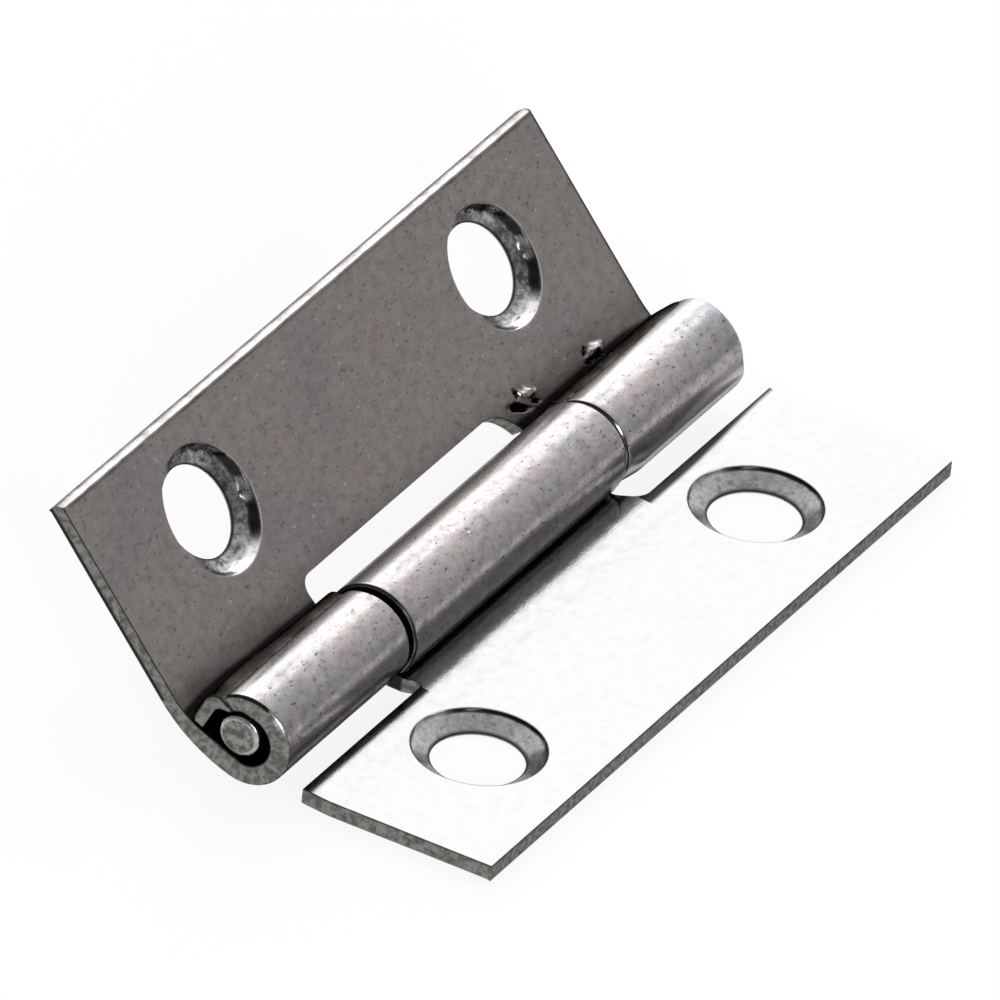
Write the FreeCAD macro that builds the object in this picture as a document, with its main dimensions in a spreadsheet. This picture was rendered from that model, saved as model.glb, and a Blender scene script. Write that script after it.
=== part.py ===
import FreeCAD, Part
import math
import os

import Sketcher

# A small butt hinge of pressed and rolled sheet steel: two leaves, three knuckles and a wire pin.
# Frame: the fixed leaf lies on its back at Z = 0 and reaches towards +X, and Y runs along the pin, with
# the end that is called near at -Y. The origin is the middle of the fixed leaf's two screw holes.

document = FreeCAD.newDocument("butt_hinge")
sheet = document.addObject("Spreadsheet::Sheet", "Sizes")

# Lengths are in millimetres and angles in degrees. "Reach" is a distance from the pin's centre line.
SIZES = [
    # the blank that both leaves are cut from
    ("leaf_length", 50.0),
    ("sheet_thickness", 1.0),
    # the angle between the two leaves as the hinge stands half open
    ("leaf_angle", 131.2),
    # the pin is a cut length of wire, with play in both rolls
    ("pin_diameter", 2.5),
    ("fixed_play", 0.55),
    ("raised_play", 0.45),
    ("pin_nip", 0.02),
    ("pin_recess", 0.05),
    ("pin_bevel_length", 0.12),
    ("pin_bevel_width", 0.38),
    ("shear_depth", 0.18),
    ("shear_length", 0.9),
    # the gentle bend that leads from each flat leaf into its roll, and how far the roll stands in from the
    # back
    ("lead_radius", 10.0),
    ("fixed_drop", 0.3),
    ("raised_drop", 1.05),
    # the roll ends in a short straight tail, cut square, which stops short of the leaf's inner face
    ("tail_straight", 0.85),
    ("tail_round", 0.32),
    ("fixed_tail_gap", 0.08),
    ("raised_tail_gap", 0.85),
    ("fixed_leaf_reach", 15.15),
    ("raised_leaf_reach", 15.7),
    # the fixed leaf lies a little towards the far end, and the raised leaf a little towards the near end
    ("fixed_leaf_shift", 0.35),
    ("raised_leaf_shift", 0.25),
    # the middle knuckle and the gaps beside it
    ("middle_length", 22.8),
    ("middle_centre", -0.38),
    ("near_gap", 0.5),
    ("far_gap", 0.25),
    # the raised leaf's knuckles are cut back at their ends, under the roll as far as this reach
    ("far_setback", 0.85),
    ("setback_reach", 2.2),
    # the notches clear the other leaf's knuckles
    ("fixed_near_clearance", 0.75),
    ("fixed_far_clearance", 1.0),
    ("raised_clearance", 1.2),
    ("raised_notch_inset", 0.3),
    ("fixed_near_corner", 0.4),
    ("fixed_far_corner", 1.3),
    ("raised_near_corner", 0.9),
    ("raised_far_corner", 2.6),
    # screw holes with countersunk mouths on the inner face
    ("fixed_hole_spacing", 30.0),
    ("raised_hole_spacing", 30.35),
    ("hole_diameter", 5.2),
    ("sink_diameter", 7.55),
    ("sink_angle", 106.0),
    ("fixed_hole_reach", 8.8),
    ("raised_hole_reach", 10.25),
    ("raised_hole_shift", 0.35),
    # the press rounds the edges of the outer skin and leaves the inner face's edges sharp
    ("skin_edge_radius", 0.18),
    # two small gouges beside the far knuckle's tail, each a pit and the lip that was pushed out of it
    ("gouge_first", 11.95),
    ("gouge_first_reach", 3.5),
    ("gouge_second", 18.95),
    ("gouge_second_reach", 2.95),
    ("gouge_length", 0.95),
    ("gouge_width", 0.62),
    ("lip_height", 0.18),
    ("pit_depth", 0.26),
]
for row, (alias, value) in enumerate(SIZES, start=1):
    sheet.set(f"A{row}", alias)
    sheet.set(f"B{row}", str(value))
    sheet.setAlias(f"B{row}", alias)
document.recompute()

# How far a cut runs past the metal that it removes, and how far the cut of a roll's end clears the roll.
OVERRUN = 3.0
ROLL_MARGIN = 0.1

# Two lengths nearer to each other than this are the same, and a cut that takes less than this takes nothing.
SAME_LENGTH = 1e-6
LEAST_VOLUME = 1e-3


def size(alias):
    """A driving size as a number."""
    return float(sheet.get(alias))


def cell(alias):
    """A driving size as an expression."""
    return f"Sizes.{alias}"


def plane(body, role):
    """One of the body's own origin planes or axes."""
    for feature in body.Origin.OriginFeatures:
        if feature.Role == role:
            return feature
    raise ValueError(f"{body.Label} has no {role}")


def new_body(name):
    body = document.addObject("PartDesign::Body", name)
    body.Label = name
    return body


def new_sketch(body, name, role, offset=None):
    """A sketch on an origin plane, moved along the plane's normal by an expression."""
    sketch = body.newObject("Sketcher::SketchObject", name)
    sketch.AttachmentSupport = (plane(body, role), "")
    sketch.MapMode = "FlatFace"
    if offset is not None:
        sketch.setExpression("AttachmentOffset.Base.z", offset)
    return sketch


def constrain(sketch, *items):
    for item in items:
        sketch.addConstraint(Sketcher.Constraint(*item))


def measure(sketch, name, expression, *item):
    """A named dimension that follows an expression."""
    index = sketch.addConstraint(Sketcher.Constraint(*item))
    sketch.renameConstraint(index, name)
    sketch.setExpression(f"Constraints.{name}", expression)


def vector(x, y):
    return FreeCAD.Vector(x, y, 0)


def segment(start, end):
    return Part.LineSegment(vector(*start), vector(*end))


def arc(centre, radius, first, last):
    """An arc drawn anticlockwise between two angles in radians."""
    circle = Part.Circle(vector(*centre), FreeCAD.Vector(0, 0, 1), radius)
    return Part.ArcOfCircle(circle, first, last)


def require_cut(body, feature, before):
    """A cut that points away from the metal removes nothing and says nothing, so the volume is compared."""
    document.recompute()
    if feature.Shape.isNull() or feature.Shape.Volume > before - LEAST_VOLUME:
        raise RuntimeError(f"{body.Label}: {feature.Name} removes nothing")


# A length that is worked out from several sizes is carried as a pair: its expression and its value.
def named(alias):
    return cell(alias), size(alias)


def plain(value):
    return f"({value})", value


def add(*pairs):
    return " + ".join(f"({pair[0]})" for pair in pairs), sum(pair[1] for pair in pairs)


def subtract(first, second):
    return f"({first[0]}) - ({second[0]})", first[1] - second[1]


class Span:
    """A stretch along the pin, with low and high ends as pairs."""

    def __init__(self, centre, length):
        middle, whole = named(centre), named(length)
        half = f"({whole[0]}) / 2", whole[1] / 2
        self.low = subtract(middle, half)
        self.high = add(middle, half)

    def turned(self):
        """Turns the stretch end for end, as a leaf is that is drawn the other way round."""
        low, high = self.low, self.high
        self.low = f"-({high[0]})", -high[1]
        self.high = f"-({low[0]})", -low[1]
        return self


def knuckle_radius(side):
    return f"({cell('pin_diameter')} / 2 + {cell(side + '_play')} + {cell('sheet_thickness')})"


def knuckle_radius_value(side):
    return size("pin_diameter") / 2 + size(side + "_play") + size("sheet_thickness")


def knuckle_size(side):
    return knuckle_radius(side), knuckle_radius_value(side)


def leaf_section(body, side):
    """The bent sheet seen along the pin: flat leaf, gentle lead bend, and the roll with its straight tail.

    The roll is centred on the pin's line. The lead bend is tangent to the flat back and to the roll, so its
    centre stands above the back by its own radius and from the roll's centre by the difference of the two
    radii. The tail leaves the roll along its tangent and is cut square.
    """
    thickness = size("sheet_thickness")
    radius = knuckle_radius_value(side)
    lead = size("lead_radius")
    back = radius + size(side + "_drop")
    reach = size(side + "_leaf_reach")
    straight = size("tail_straight")
    inner = radius - thickness
    lead_x = math.sqrt((lead - radius) ** 2 - (lead - back) ** 2)
    lead_centre = (lead_x, lead - back)
    meet = math.atan2(back - lead, -lead_x) + 2 * math.pi
    depth = back - thickness - size(side + "_tail_gap")
    leave = math.atan2(straight, radius) - math.asin(depth / math.hypot(radius, straight))
    along = (math.sin(leave), -math.cos(leave))

    def on_roll(r):
        return (r * math.cos(leave), r * math.sin(leave))

    def tip(r):
        x, z = on_roll(r)
        return (x + straight * along[0], z + straight * along[1])

    sketch = new_sketch(body, "section", "XZ_Plane", f"-{cell(side + '_leaf_shift')}")
    geometry = [
        segment((reach, -back), (lead_x, -back)),
        arc(lead_centre, lead, meet, 1.5 * math.pi),
        arc((0, 0), radius, leave, meet),
        segment(on_roll(radius), tip(radius)),
        segment(tip(radius), tip(inner)),
        segment(tip(inner), on_roll(inner)),
        arc((0, 0), inner, leave, meet),
        arc(lead_centre, lead - thickness, meet, 1.5 * math.pi),
        segment((lead_x, thickness - back), (reach, thickness - back)),
        segment((reach, thickness - back), (reach, -back)),
    ]
    flat_back, lead_out, roll_out, tail_out, tail_cut, tail_in, roll_in, lead_in, flat_face, leaf_edge = (
        sketch.addGeometry(geometry)
    )
    start, end, centre = 1, 2, 3
    constrain(
        sketch,
        ("Coincident", roll_out, centre, -1, 1),
        ("Coincident", roll_in, centre, -1, 1),
        ("Coincident", lead_in, centre, lead_out, centre),
        ("Horizontal", flat_back),
        ("Tangent", flat_back, end, lead_out, end),
        ("Tangent", lead_out, start, roll_out, end),
        ("Tangent", roll_out, start, tail_out, start),
        ("Coincident", tail_out, end, tail_cut, start),
        ("Perpendicular", tail_out, tail_cut),
        ("Coincident", tail_cut, end, tail_in, start),
        ("Tangent", tail_in, end, roll_in, start),
        ("Tangent", roll_in, end, lead_in, start),
        ("Tangent", lead_in, end, flat_face, start),
        ("Horizontal", flat_face),
        ("Coincident", flat_face, end, leaf_edge, start),
        ("Coincident", leaf_edge, end, flat_back, start),
        ("Vertical", leaf_edge),
        ("Parallel", tail_out, tail_in),
    )
    outside = knuckle_radius(side)
    measure(sketch, "roll_radius", outside, "Radius", roll_out, radius)
    measure(sketch, "bore_radius", f"{outside} - {cell('sheet_thickness')}", "Radius", roll_in, inner)
    measure(sketch, "lead_bend", cell("lead_radius"), "Radius", lead_out, lead)
    measure(sketch, "back", f"{outside} + {cell(side + '_drop')}", "DistanceY", flat_back, start, -1, 1, back)
    measure(sketch, "reach", cell(side + "_leaf_reach"), "DistanceX", -1, 1, flat_back, start, reach)
    measure(sketch, "tail_length", cell("tail_straight"), "Distance", tail_out, straight)
    face = f"{outside} + {cell(side + '_drop')} - {cell('sheet_thickness')}"
    tail_depth = f"{face} - {cell(side + '_tail_gap')}"
    measure(sketch, "tail_depth", tail_depth, "DistanceY", tail_out, end, -1, 1, depth)
    return sketch


def draw_notch(sketch, name, right, low, high, low_corner=None, high_corner=None):
    """A cut-out from beyond the roll up to the line X = right, between two places along the pin.

    right, low and high are (expression, value) pairs. Each corner on the leaf's side is square, or round
    with the radius of its (expression, value) pair.
    """
    left = -(knuckle_radius_value("fixed") + OVERRUN)
    x, y0, y1 = right[1], low[1], high[1]
    r0 = low_corner[1] if low_corner else 0.0
    r1 = high_corner[1] if high_corner else 0.0
    outline = [
        segment((left, y0), (x - r0, y0)),
        segment((x, y0 + r0), (x, y1 - r1)),
        segment((x - r1, y1), (left, y1)),
        segment((left, y1), (left, y0)),
    ]
    bottom, side, top, back = sketch.addGeometry(outline)
    constrain(
        sketch,
        ("Horizontal", bottom),
        ("Vertical", side),
        ("Horizontal", top),
        ("Vertical", back),
        ("Coincident", top, 2, back, 1),
        ("Coincident", back, 2, bottom, 1),
    )
    if low_corner:
        corner = sketch.addGeometry(arc((x - r0, y0 + r0), r0, 1.5 * math.pi, 2 * math.pi))
        constrain(sketch, ("Tangent", bottom, 2, corner, 1), ("Tangent", corner, 2, side, 1))
        measure(sketch, name + "_low_corner", low_corner[0], "Radius", corner, r0)
    else:
        constrain(sketch, ("Coincident", bottom, 2, side, 1))
    if high_corner:
        corner = sketch.addGeometry(arc((x - r1, y1 - r1), r1, 0, 0.5 * math.pi))
        constrain(sketch, ("Tangent", side, 2, corner, 1), ("Tangent", corner, 2, top, 1))
        measure(sketch, name + "_high_corner", high_corner[0], "Radius", corner, r1)
    else:
        constrain(sketch, ("Coincident", side, 2, top, 1))
    beyond = f"-({knuckle_radius('fixed')} + {OVERRUN})"
    measure(sketch, name + "_back", beyond, "DistanceX", -1, 1, back, 1, left)
    measure(sketch, name + "_reach", right[0], "DistanceX", -1, 1, side, 1, x)
    measure(sketch, name + "_low", low[0], "DistanceY", -1, 1, bottom, 1, y0)
    measure(sketch, name + "_high", high[0], "DistanceY", -1, 1, top, 1, y1)


def cut_through(body, sketch, name):
    """Cuts the sketch's outlines through the whole piece, both ways from the sketch."""
    before = body.Shape.Volume
    cut = body.newObject("PartDesign::Pocket", name)
    cut.Profile = sketch
    cut.SideType = "Symmetric"
    cut.Type = "ThroughAll"
    require_cut(body, cut, before)


def screw_holes(body, side, along, shift):
    """Two through holes with countersunk mouths on the inner face."""
    outside = knuckle_radius(side)
    face = f"{cell('sheet_thickness')} - {outside} - {cell(side + '_drop')}"
    sketch = new_sketch(body, "hole_centres", "XY_Plane", face)
    radius = size("hole_diameter") / 2
    for name, sign in (("one", -1), ("other", 1)):
        centre = along * size(shift) if shift else 0.0
        centre += sign * size(side + "_hole_spacing") / 2
        expression = f"{sign} * {cell(side + '_hole_spacing')} / 2"
        if shift:
            expression += f" + {along} * {cell(shift)}"
        reach = size(side + "_hole_reach")
        circle = sketch.addGeometry(Part.Circle(vector(reach, centre), FreeCAD.Vector(0, 0, 1), radius))
        measure(sketch, name + "_radius", f"{cell('hole_diameter')} / 2", "Radius", circle, radius)
        measure(sketch, name + "_reach", cell(side + "_hole_reach"), "DistanceX", -1, 1, circle, 3, reach)
        measure(sketch, name + "_centre", expression, "DistanceY", -1, 1, circle, 3, centre)
    document.recompute()
    before = body.Shape.Volume
    holes = body.newObject("PartDesign::Hole", "screw_holes")
    holes.Profile = sketch
    holes.ThreadType = "None"
    holes.DepthType = "ThroughAll"
    holes.HoleCutType = "Countersink"
    holes.HoleCutCustomValues = True
    holes.setExpression("Diameter", cell("hole_diameter"))
    holes.setExpression("HoleCutDiameter", cell("sink_diameter"))
    holes.setExpression("HoleCutCountersinkAngle", cell("sink_angle"))
    require_cut(body, holes, before)


def edge_names(shape, wanted):
    """The names of the edges for which wanted(edge, middle point) is true."""
    names = []
    for number, edge in enumerate(shape.Edges, start=1):
        middle = edge.valueAt((edge.FirstParameter + edge.LastParameter) / 2)
        if wanted(edge, middle):
            names.append(f"Edge{number}")
    return names


def round_tail(body, side):
    """Rounds the outer edge of the tail's square cut, over the whole length of the roll."""
    tip = body.Tip
    radius = knuckle_radius_value(side)
    depth = radius + size(side + "_drop") - size("sheet_thickness") - size(side + "_tail_gap")

    def at_tail(edge, middle):
        runs_along = edge.BoundBox.YLength > size("leaf_length") / 2
        outside = math.hypot(middle.x, middle.z) > radius
        return runs_along and outside and abs(middle.z + depth) < SAME_LENGTH

    fillet = body.newObject("PartDesign::Fillet", "tail_edge")
    fillet.Base = (tip, edge_names(tip.Shape, at_tail))
    fillet.setExpression("Radius", cell("tail_round"))
    document.recompute()


def round_outer_skin(body, side):
    """Rounds the edges where the sheet's outer skin meets its cut ends.

    The outer skin is the flat back, the lead bend's outside and the roll's outside. They are tangent to
    each other, so the rounding that starts at the roll's rims follows them all the way.
    """
    tip = body.Tip
    radius = knuckle_radius_value(side)

    def rim(edge, middle):
        across = edge.BoundBox.YLength < SAME_LENGTH
        on_roll = abs(math.hypot(middle.x, middle.z) - radius) < SAME_LENGTH
        return across and on_roll and isinstance(edge.Curve, Part.Circle)

    fillet = body.newObject("PartDesign::Fillet", "skin_edges")
    fillet.Base = (tip, edge_names(tip.Shape, rim))
    fillet.setExpression("Radius", cell("skin_edge_radius"))
    document.recompute()


def leaf(name, side):
    """A leaf with its full-length roll, before its notches are cut."""
    body = new_body(name)
    sketch = leaf_section(body, side)
    pad = body.newObject("PartDesign::Pad", "bent_sheet")
    pad.Profile = sketch
    pad.SideType = "Symmetric"
    pad.setExpression("Length", cell("leaf_length"))
    document.recompute()
    round_tail(body, side)
    return body


def place(body, aside="0", axis=("0", "0", "1"), turn="0"):
    """Puts a piece on the pin's centre line, aside of it by a length and turned about an axis by an angle."""
    height = f"{knuckle_radius('fixed')} + {cell('fixed_drop')}"
    body.setExpression("Placement.Base.x", f"-{cell('fixed_hole_reach')} - ({aside})")
    body.setExpression("Placement.Base.z", height)
    for name, expression in zip("xyz", axis):
        body.setExpression(f"Placement.Rotation.Axis.{name}", expression)
    body.setExpression("Placement.Rotation.Angle", turn)


def make_fixed_leaf():
    """The leaf that lies flat. The middle knuckle is left of its roll, between a notch at each end."""
    body = leaf("fixed_leaf", "fixed")
    knuckle = Span("middle_centre", "middle_length")
    blank = Span("fixed_leaf_shift", "leaf_length")
    sketch = new_sketch(body, "notches", "XY_Plane")
    near_reach = add(knuckle_size("raised"), named("fixed_near_clearance"))
    far_reach = add(knuckle_size("raised"), named("fixed_far_clearance"))
    draw_notch(
        sketch,
        "near",
        near_reach,
        add(blank.low, plain(-OVERRUN)),
        knuckle.low,
        high_corner=named("fixed_near_corner"),
    )
    draw_notch(
        sketch,
        "far",
        far_reach,
        knuckle.high,
        add(blank.high, plain(OVERRUN)),
        low_corner=named("fixed_far_corner"),
    )
    document.recompute()
    cut_through(body, sketch, "end_notches")
    round_outer_skin(body, "fixed")
    screw_holes(body, "fixed", 1, None)
    place(body)
    return body


def half_round(body, kind, gouge, part, rise, sign, start):
    """A low ridge or hollow along the inner face, with the section of a circle's segment.

    A segment that is w wide and r high belongs to a circle of radius (w * w / 4 + r * r) / (2 * r), whose
    centre is that radius less r below the face for a ridge and above it for a hollow.
    """
    shape = body.newObject(kind, gouge + part)
    radius = f"({cell('gouge_width')} ^ 2 / 4 + {cell(rise)} ^ 2) / (2 * {cell(rise)})"
    face = f"{cell('sheet_thickness')} - {knuckle_radius('raised')} - {cell('raised_drop')}"
    shape.setExpression("Radius", radius)
    shape.setExpression("Height", cell("gouge_length"))
    shape.AttachmentSupport = (plane(body, "XZ_Plane"), "")
    shape.MapMode = "FlatFace"
    shape.setExpression("AttachmentOffset.Base.x", cell(gouge + "_reach"))
    shape.setExpression("AttachmentOffset.Base.y", f"{face} + {sign} * ({radius} - {cell(rise)})")
    shape.setExpression("AttachmentOffset.Base.z", start)
    document.recompute()
    return shape


def gouges(body):
    """Two marks on the inner face, where a tool slid towards the far end and pushed a lip in front of it."""
    for name in ("gouge_first", "gouge_second"):
        half_round(body, "PartDesign::AdditiveCylinder", name, "_lip", "lip_height", -1, cell(name))
        before = body.Shape.Volume
        start = f"{cell(name)} - {cell('gouge_length')}"
        pit = half_round(body, "PartDesign::SubtractiveCylinder", name, "_pit", "pit_depth", 1, start)
        require_cut(body, pit, before)


def make_raised_leaf():
    """The leaf that stands up. It keeps its roll at both ends and has a notch for the middle knuckle.

    It is drawn like the fixed leaf and then turned end for end, so its own +Y is the near end. The notch
    is narrow in the flat sheet. Under the roll and in it, the gap between the knuckles is wider.
    """
    body = leaf("raised_leaf", "raised")
    knuckle = Span("middle_centre", "middle_length").turned()
    blank = Span("raised_leaf_shift", "leaf_length")
    inset = named("raised_notch_inset")
    notch_reach = add(knuckle_size("fixed"), named("raised_clearance"))
    gap_low = subtract(knuckle.low, named("far_gap"))
    gap_high = add(knuckle.high, named("near_gap"))
    beyond_low = add(blank.low, plain(-OVERRUN))
    set_back = add(blank.low, named("far_setback"))

    narrow = new_sketch(body, "flat_notch", "XY_Plane")
    draw_notch(
        narrow,
        "flat",
        notch_reach,
        add(knuckle.low, inset),
        subtract(knuckle.high, inset),
        low_corner=named("raised_far_corner"),
        high_corner=named("raised_near_corner"),
    )
    document.recompute()
    cut_through(body, narrow, "middle_notch")

    under = new_sketch(body, "under_roll", "XY_Plane")
    draw_notch(under, "gap", named("setback_reach"), gap_low, gap_high)
    draw_notch(under, "end", named("setback_reach"), beyond_low, set_back)
    document.recompute()
    cut_through(body, under, "under_roll_cut")

    # above the middle of the tail's gap, the cuts take the whole width of the roll
    level = f"{cell('sheet_thickness')} - {knuckle_radius('raised')} - {cell('raised_drop')}"
    rolled = new_sketch(body, "roll_ends", "XY_Plane", f"{level} + {cell('raised_tail_gap')} / 2")
    roll_reach = add(knuckle_size("raised"), plain(ROLL_MARGIN))
    draw_notch(rolled, "gap", roll_reach, gap_low, gap_high)
    draw_notch(rolled, "end", roll_reach, beyond_low, set_back)
    document.recompute()
    before = body.Shape.Volume
    cut = body.newObject("PartDesign::Pocket", "roll_cut")
    cut.Profile = rolled
    cut.Reversed = True
    cut.Type = "ThroughAll"
    require_cut(body, cut, before)

    round_outer_skin(body, "raised")
    gouges(body)
    screw_holes(body, "raised", -1, "raised_hole_shift")
    # turned end for end and lifted to the leaf angle: together a half turn about the line midway between
    half_lift = f"(180 - {cell('leaf_angle')}) * 0.5 * 1 deg"
    place(body, axis=(f"sin({half_lift})", "0", f"cos({half_lift})"), turn="180")
    return body


def make_pin():
    """The wire pin: bevelled ends, one of them with a shear mark, nipped against the raised leaf's bore."""
    body = new_body("hinge_pin")
    radius = size("pin_diameter") / 2
    profile = new_sketch(body, "round", "XZ_Plane")
    circle = profile.addGeometry(Part.Circle(vector(0, 0), FreeCAD.Vector(0, 0, 1), radius))
    constrain(profile, ("Coincident", circle, 3, -1, 1))
    measure(profile, "radius", f"{cell('pin_diameter')} / 2", "Radius", circle, radius)
    wire = body.newObject("PartDesign::Pad", "wire")
    wire.Profile = profile
    wire.SideType = "Two sides"
    half = f"{cell('leaf_length')} / 2"
    wire.setExpression("Length", f"{half} + {cell('raised_leaf_shift')} - {cell('pin_recess')}")
    far_end = f"{half} - {cell('raised_leaf_shift')} - {cell('far_setback')} - {cell('pin_recess')}"
    wire.setExpression("Length2", far_end)
    document.recompute()
    bevel = body.newObject("PartDesign::Chamfer", "bevelled_ends")
    bevel.Base = (wire, edge_names(wire.Shape, lambda edge, middle: isinstance(edge.Curve, Part.Circle)))
    bevel.ChamferType = "Two distances"
    bevel.setExpression("Size", cell("pin_bevel_length"))
    bevel.setExpression("Size2", cell("pin_bevel_width"))
    document.recompute()

    # the shear mark is a flat across the top of the near end
    near = size("pin_recess") - size("leaf_length") / 2 - size("raised_leaf_shift")
    start, end = near - OVERRUN, near + size("shear_length")
    flat, top = radius - size("shear_depth"), radius + OVERRUN
    sketch = new_sketch(body, "shear_mark", "YZ_Plane")
    corners = [(start, flat), (end, flat), (end, top), (start, top)]
    lines = sketch.addGeometry([segment(corners[k], corners[(k + 1) % 4]) for k in range(4)])
    for k in range(4):
        constrain(sketch, ("Coincident", lines[k], 2, lines[(k + 1) % 4], 1))
        constrain(sketch, ("Horizontal" if k % 2 == 0 else "Vertical", lines[k]))
    pin_radius = f"{cell('pin_diameter')} / 2"
    near_end = f"{cell('pin_recess')} - {cell('leaf_length')} / 2 - {cell('raised_leaf_shift')}"
    measure(sketch, "flat", f"{pin_radius} - {cell('shear_depth')}", "DistanceY", -1, 1, lines[0], 1, flat)
    measure(sketch, "start", f"{near_end} - {OVERRUN}", "DistanceX", -1, 1, lines[0], 1, start)
    measure(sketch, "end", f"{near_end} + {cell('shear_length')}", "DistanceX", -1, 1, lines[0], 2, end)
    measure(sketch, "top", f"{pin_radius} + {OVERRUN}", "DistanceY", -1, 1, lines[2], 1, top)
    document.recompute()
    cut_through(body, sketch, "shear_flat")

    # nipped against the side of the raised leaf's bore
    place(body, aside=f"{cell('raised_play')} + {cell('pin_nip')}")
    return body


subparts = [make_fixed_leaf(), make_raised_leaf(), make_pin()]
document.recompute()

for item in document.Objects:
    if "Invalid" in item.State or "Error" in item.State:
        raise RuntimeError(f"{item.Name} failed: {item.State}")
for body in subparts:
    if body.Shape.isNull() or not body.Shape.isValid() or len(body.Shape.Solids) != 1:
        raise RuntimeError(f"{body.Label} is not one sound solid")

os.makedirs("parts", exist_ok=True)
for body in subparts:
    body.Shape.exportStep(f"parts/{body.Label}.step")
    box = body.Shape.BoundBox
    print(f"{body.Label}: volume {body.Shape.Volume:.2f} mm3, X {box.XMin:.2f} to {box.XMax:.2f},"
          f" Y {box.YMin:.2f} to {box.YMax:.2f}, Z {box.ZMin:.2f} to {box.ZMax:.2f}")
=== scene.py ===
import math
from typing import NamedTuple

import bpy
import numpy as np
from bpy.props import FloatProperty, FloatVectorProperty, PointerProperty
from mathutils import Matrix, Vector
from mathutils.geometry import delaunay_2d_cdt


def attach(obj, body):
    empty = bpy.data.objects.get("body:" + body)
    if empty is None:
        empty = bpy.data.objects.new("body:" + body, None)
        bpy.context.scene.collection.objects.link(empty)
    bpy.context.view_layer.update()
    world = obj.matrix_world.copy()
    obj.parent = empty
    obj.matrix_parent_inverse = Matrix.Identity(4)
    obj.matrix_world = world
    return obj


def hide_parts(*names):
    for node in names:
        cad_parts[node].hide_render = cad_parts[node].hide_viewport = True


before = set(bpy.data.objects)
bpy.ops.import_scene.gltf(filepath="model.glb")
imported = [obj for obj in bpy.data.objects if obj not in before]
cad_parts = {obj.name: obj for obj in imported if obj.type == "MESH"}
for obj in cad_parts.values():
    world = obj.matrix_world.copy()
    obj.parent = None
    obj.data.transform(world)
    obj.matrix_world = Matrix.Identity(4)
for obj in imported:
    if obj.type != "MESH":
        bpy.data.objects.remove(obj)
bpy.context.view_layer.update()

bl_info = {
    "name": "Rolled Steel Hinge",
    "version": (1, 0, 0),
    "blender": (4, 5, 0),
    "location": "View3D > Sidebar > Hinge",
    "description": "Dresses a small rolled sheet steel butt hinge and sets its studio",
    "category": "Object",
}

MM = 0.001
# the angle between the leaves in the photo, in degrees
OPEN_ANGLE = 131.2


# ---- sizes and finishes that a user would change


def length(name, description, millimetres):
    return FloatProperty(
        name=name, description=description, default=millimetres * MM, unit="LENGTH", precision=5
    )


def mm(size):
    """A length in millimetres. A property keeps seven digits only, so the rest is rounded off."""
    return round(size / MM, 5)


def own(sizes, side, part):
    """A length in millimetres that the fixed and the raised leaf each have of their own."""
    return mm(getattr(sizes, f"{side}_{part}"))


def number(name, description, value):
    return FloatProperty(name=name, description=description, default=value)


def colour(name, description, value):
    return FloatVectorProperty(name=name, description=description, default=value, subtype="COLOR", size=3)


class HingeSizes(bpy.types.PropertyGroup):
    leaf_length: length("Leaf length", "Length of both leaves along the pin", 50.0)
    thickness: length("Sheet thickness", "Thickness of the sheet steel", 1.0)
    leaf_angle: FloatProperty(
        name="Leaf angle",
        description="Angle between the leaves",
        default=math.radians(OPEN_ANGLE),
        subtype="ANGLE",
    )
    pin_radius: length("Pin radius", "Half the wire's diameter", 1.25)
    lead_radius: length("Lead bend", "Outer radius of the gentle bend into the roll", 10.0)
    tail: length("Tail", "Straight end of the roll", 0.85)
    fixed_reach: length("Fixed reach", "From the pin to the fixed leaf's free edge", 15.15)
    fixed_play: length("Fixed play", "Gap between the pin and the fixed leaf's roll", 0.55)
    fixed_drop: length("Fixed drop", "How far the fixed leaf's back lies below its roll", 0.3)
    fixed_tail_gap: length("Fixed tail gap", "Between the fixed leaf and its tail", 0.08)
    fixed_hole_reach: length("Fixed hole reach", "From the pin to the fixed leaf's holes", 8.8)
    fixed_hole_spacing: length("Fixed hole spacing", "Between the fixed leaf's holes", 30.0)
    raised_reach: length("Raised reach", "From the pin to the raised leaf's free edge", 15.7)
    raised_play: length("Raised play", "Gap between the pin and the raised leaf's rolls", 0.45)
    raised_drop: length("Raised drop", "How far the raised leaf's back lies below its rolls", 1.05)
    raised_tail_gap: length("Raised tail gap", "Between the raised leaf and its tails", 0.85)
    raised_hole_reach: length("Raised hole reach", "From the pin to the raised leaf's holes", 10.25)
    raised_hole_spacing: length("Raised hole spacing", "Between the raised leaf's holes", 30.35)
    hole_radius: length("Hole radius", "Half the screw hole's diameter", 2.6)
    sink_radius: length("Countersink radius", "Half the countersink's mouth", 3.775)
    tail_round: length("Tail rounding", "Rounding of the tail's outer edge", 0.32)
    skin_round: length("Skin rounding", "Rounding of the outer skin's edges", 0.18)
    free_round: length("Free edge rounding", "Rounding of the free edge's outer side", 0.06)
    free_bevel: length("Free edge bevel", "Width of the bevel on the raised leaf's free edge", 0.22)
    face_break: length("Edge break", "Break of the inner face's sharp edges", 0.035)
    grid: length("Grid", "Spacing of the points on the sheet's faces", 0.25)
    outline_step: length("Outline step", "Spacing of the points round the sheet", 0.2)


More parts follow.
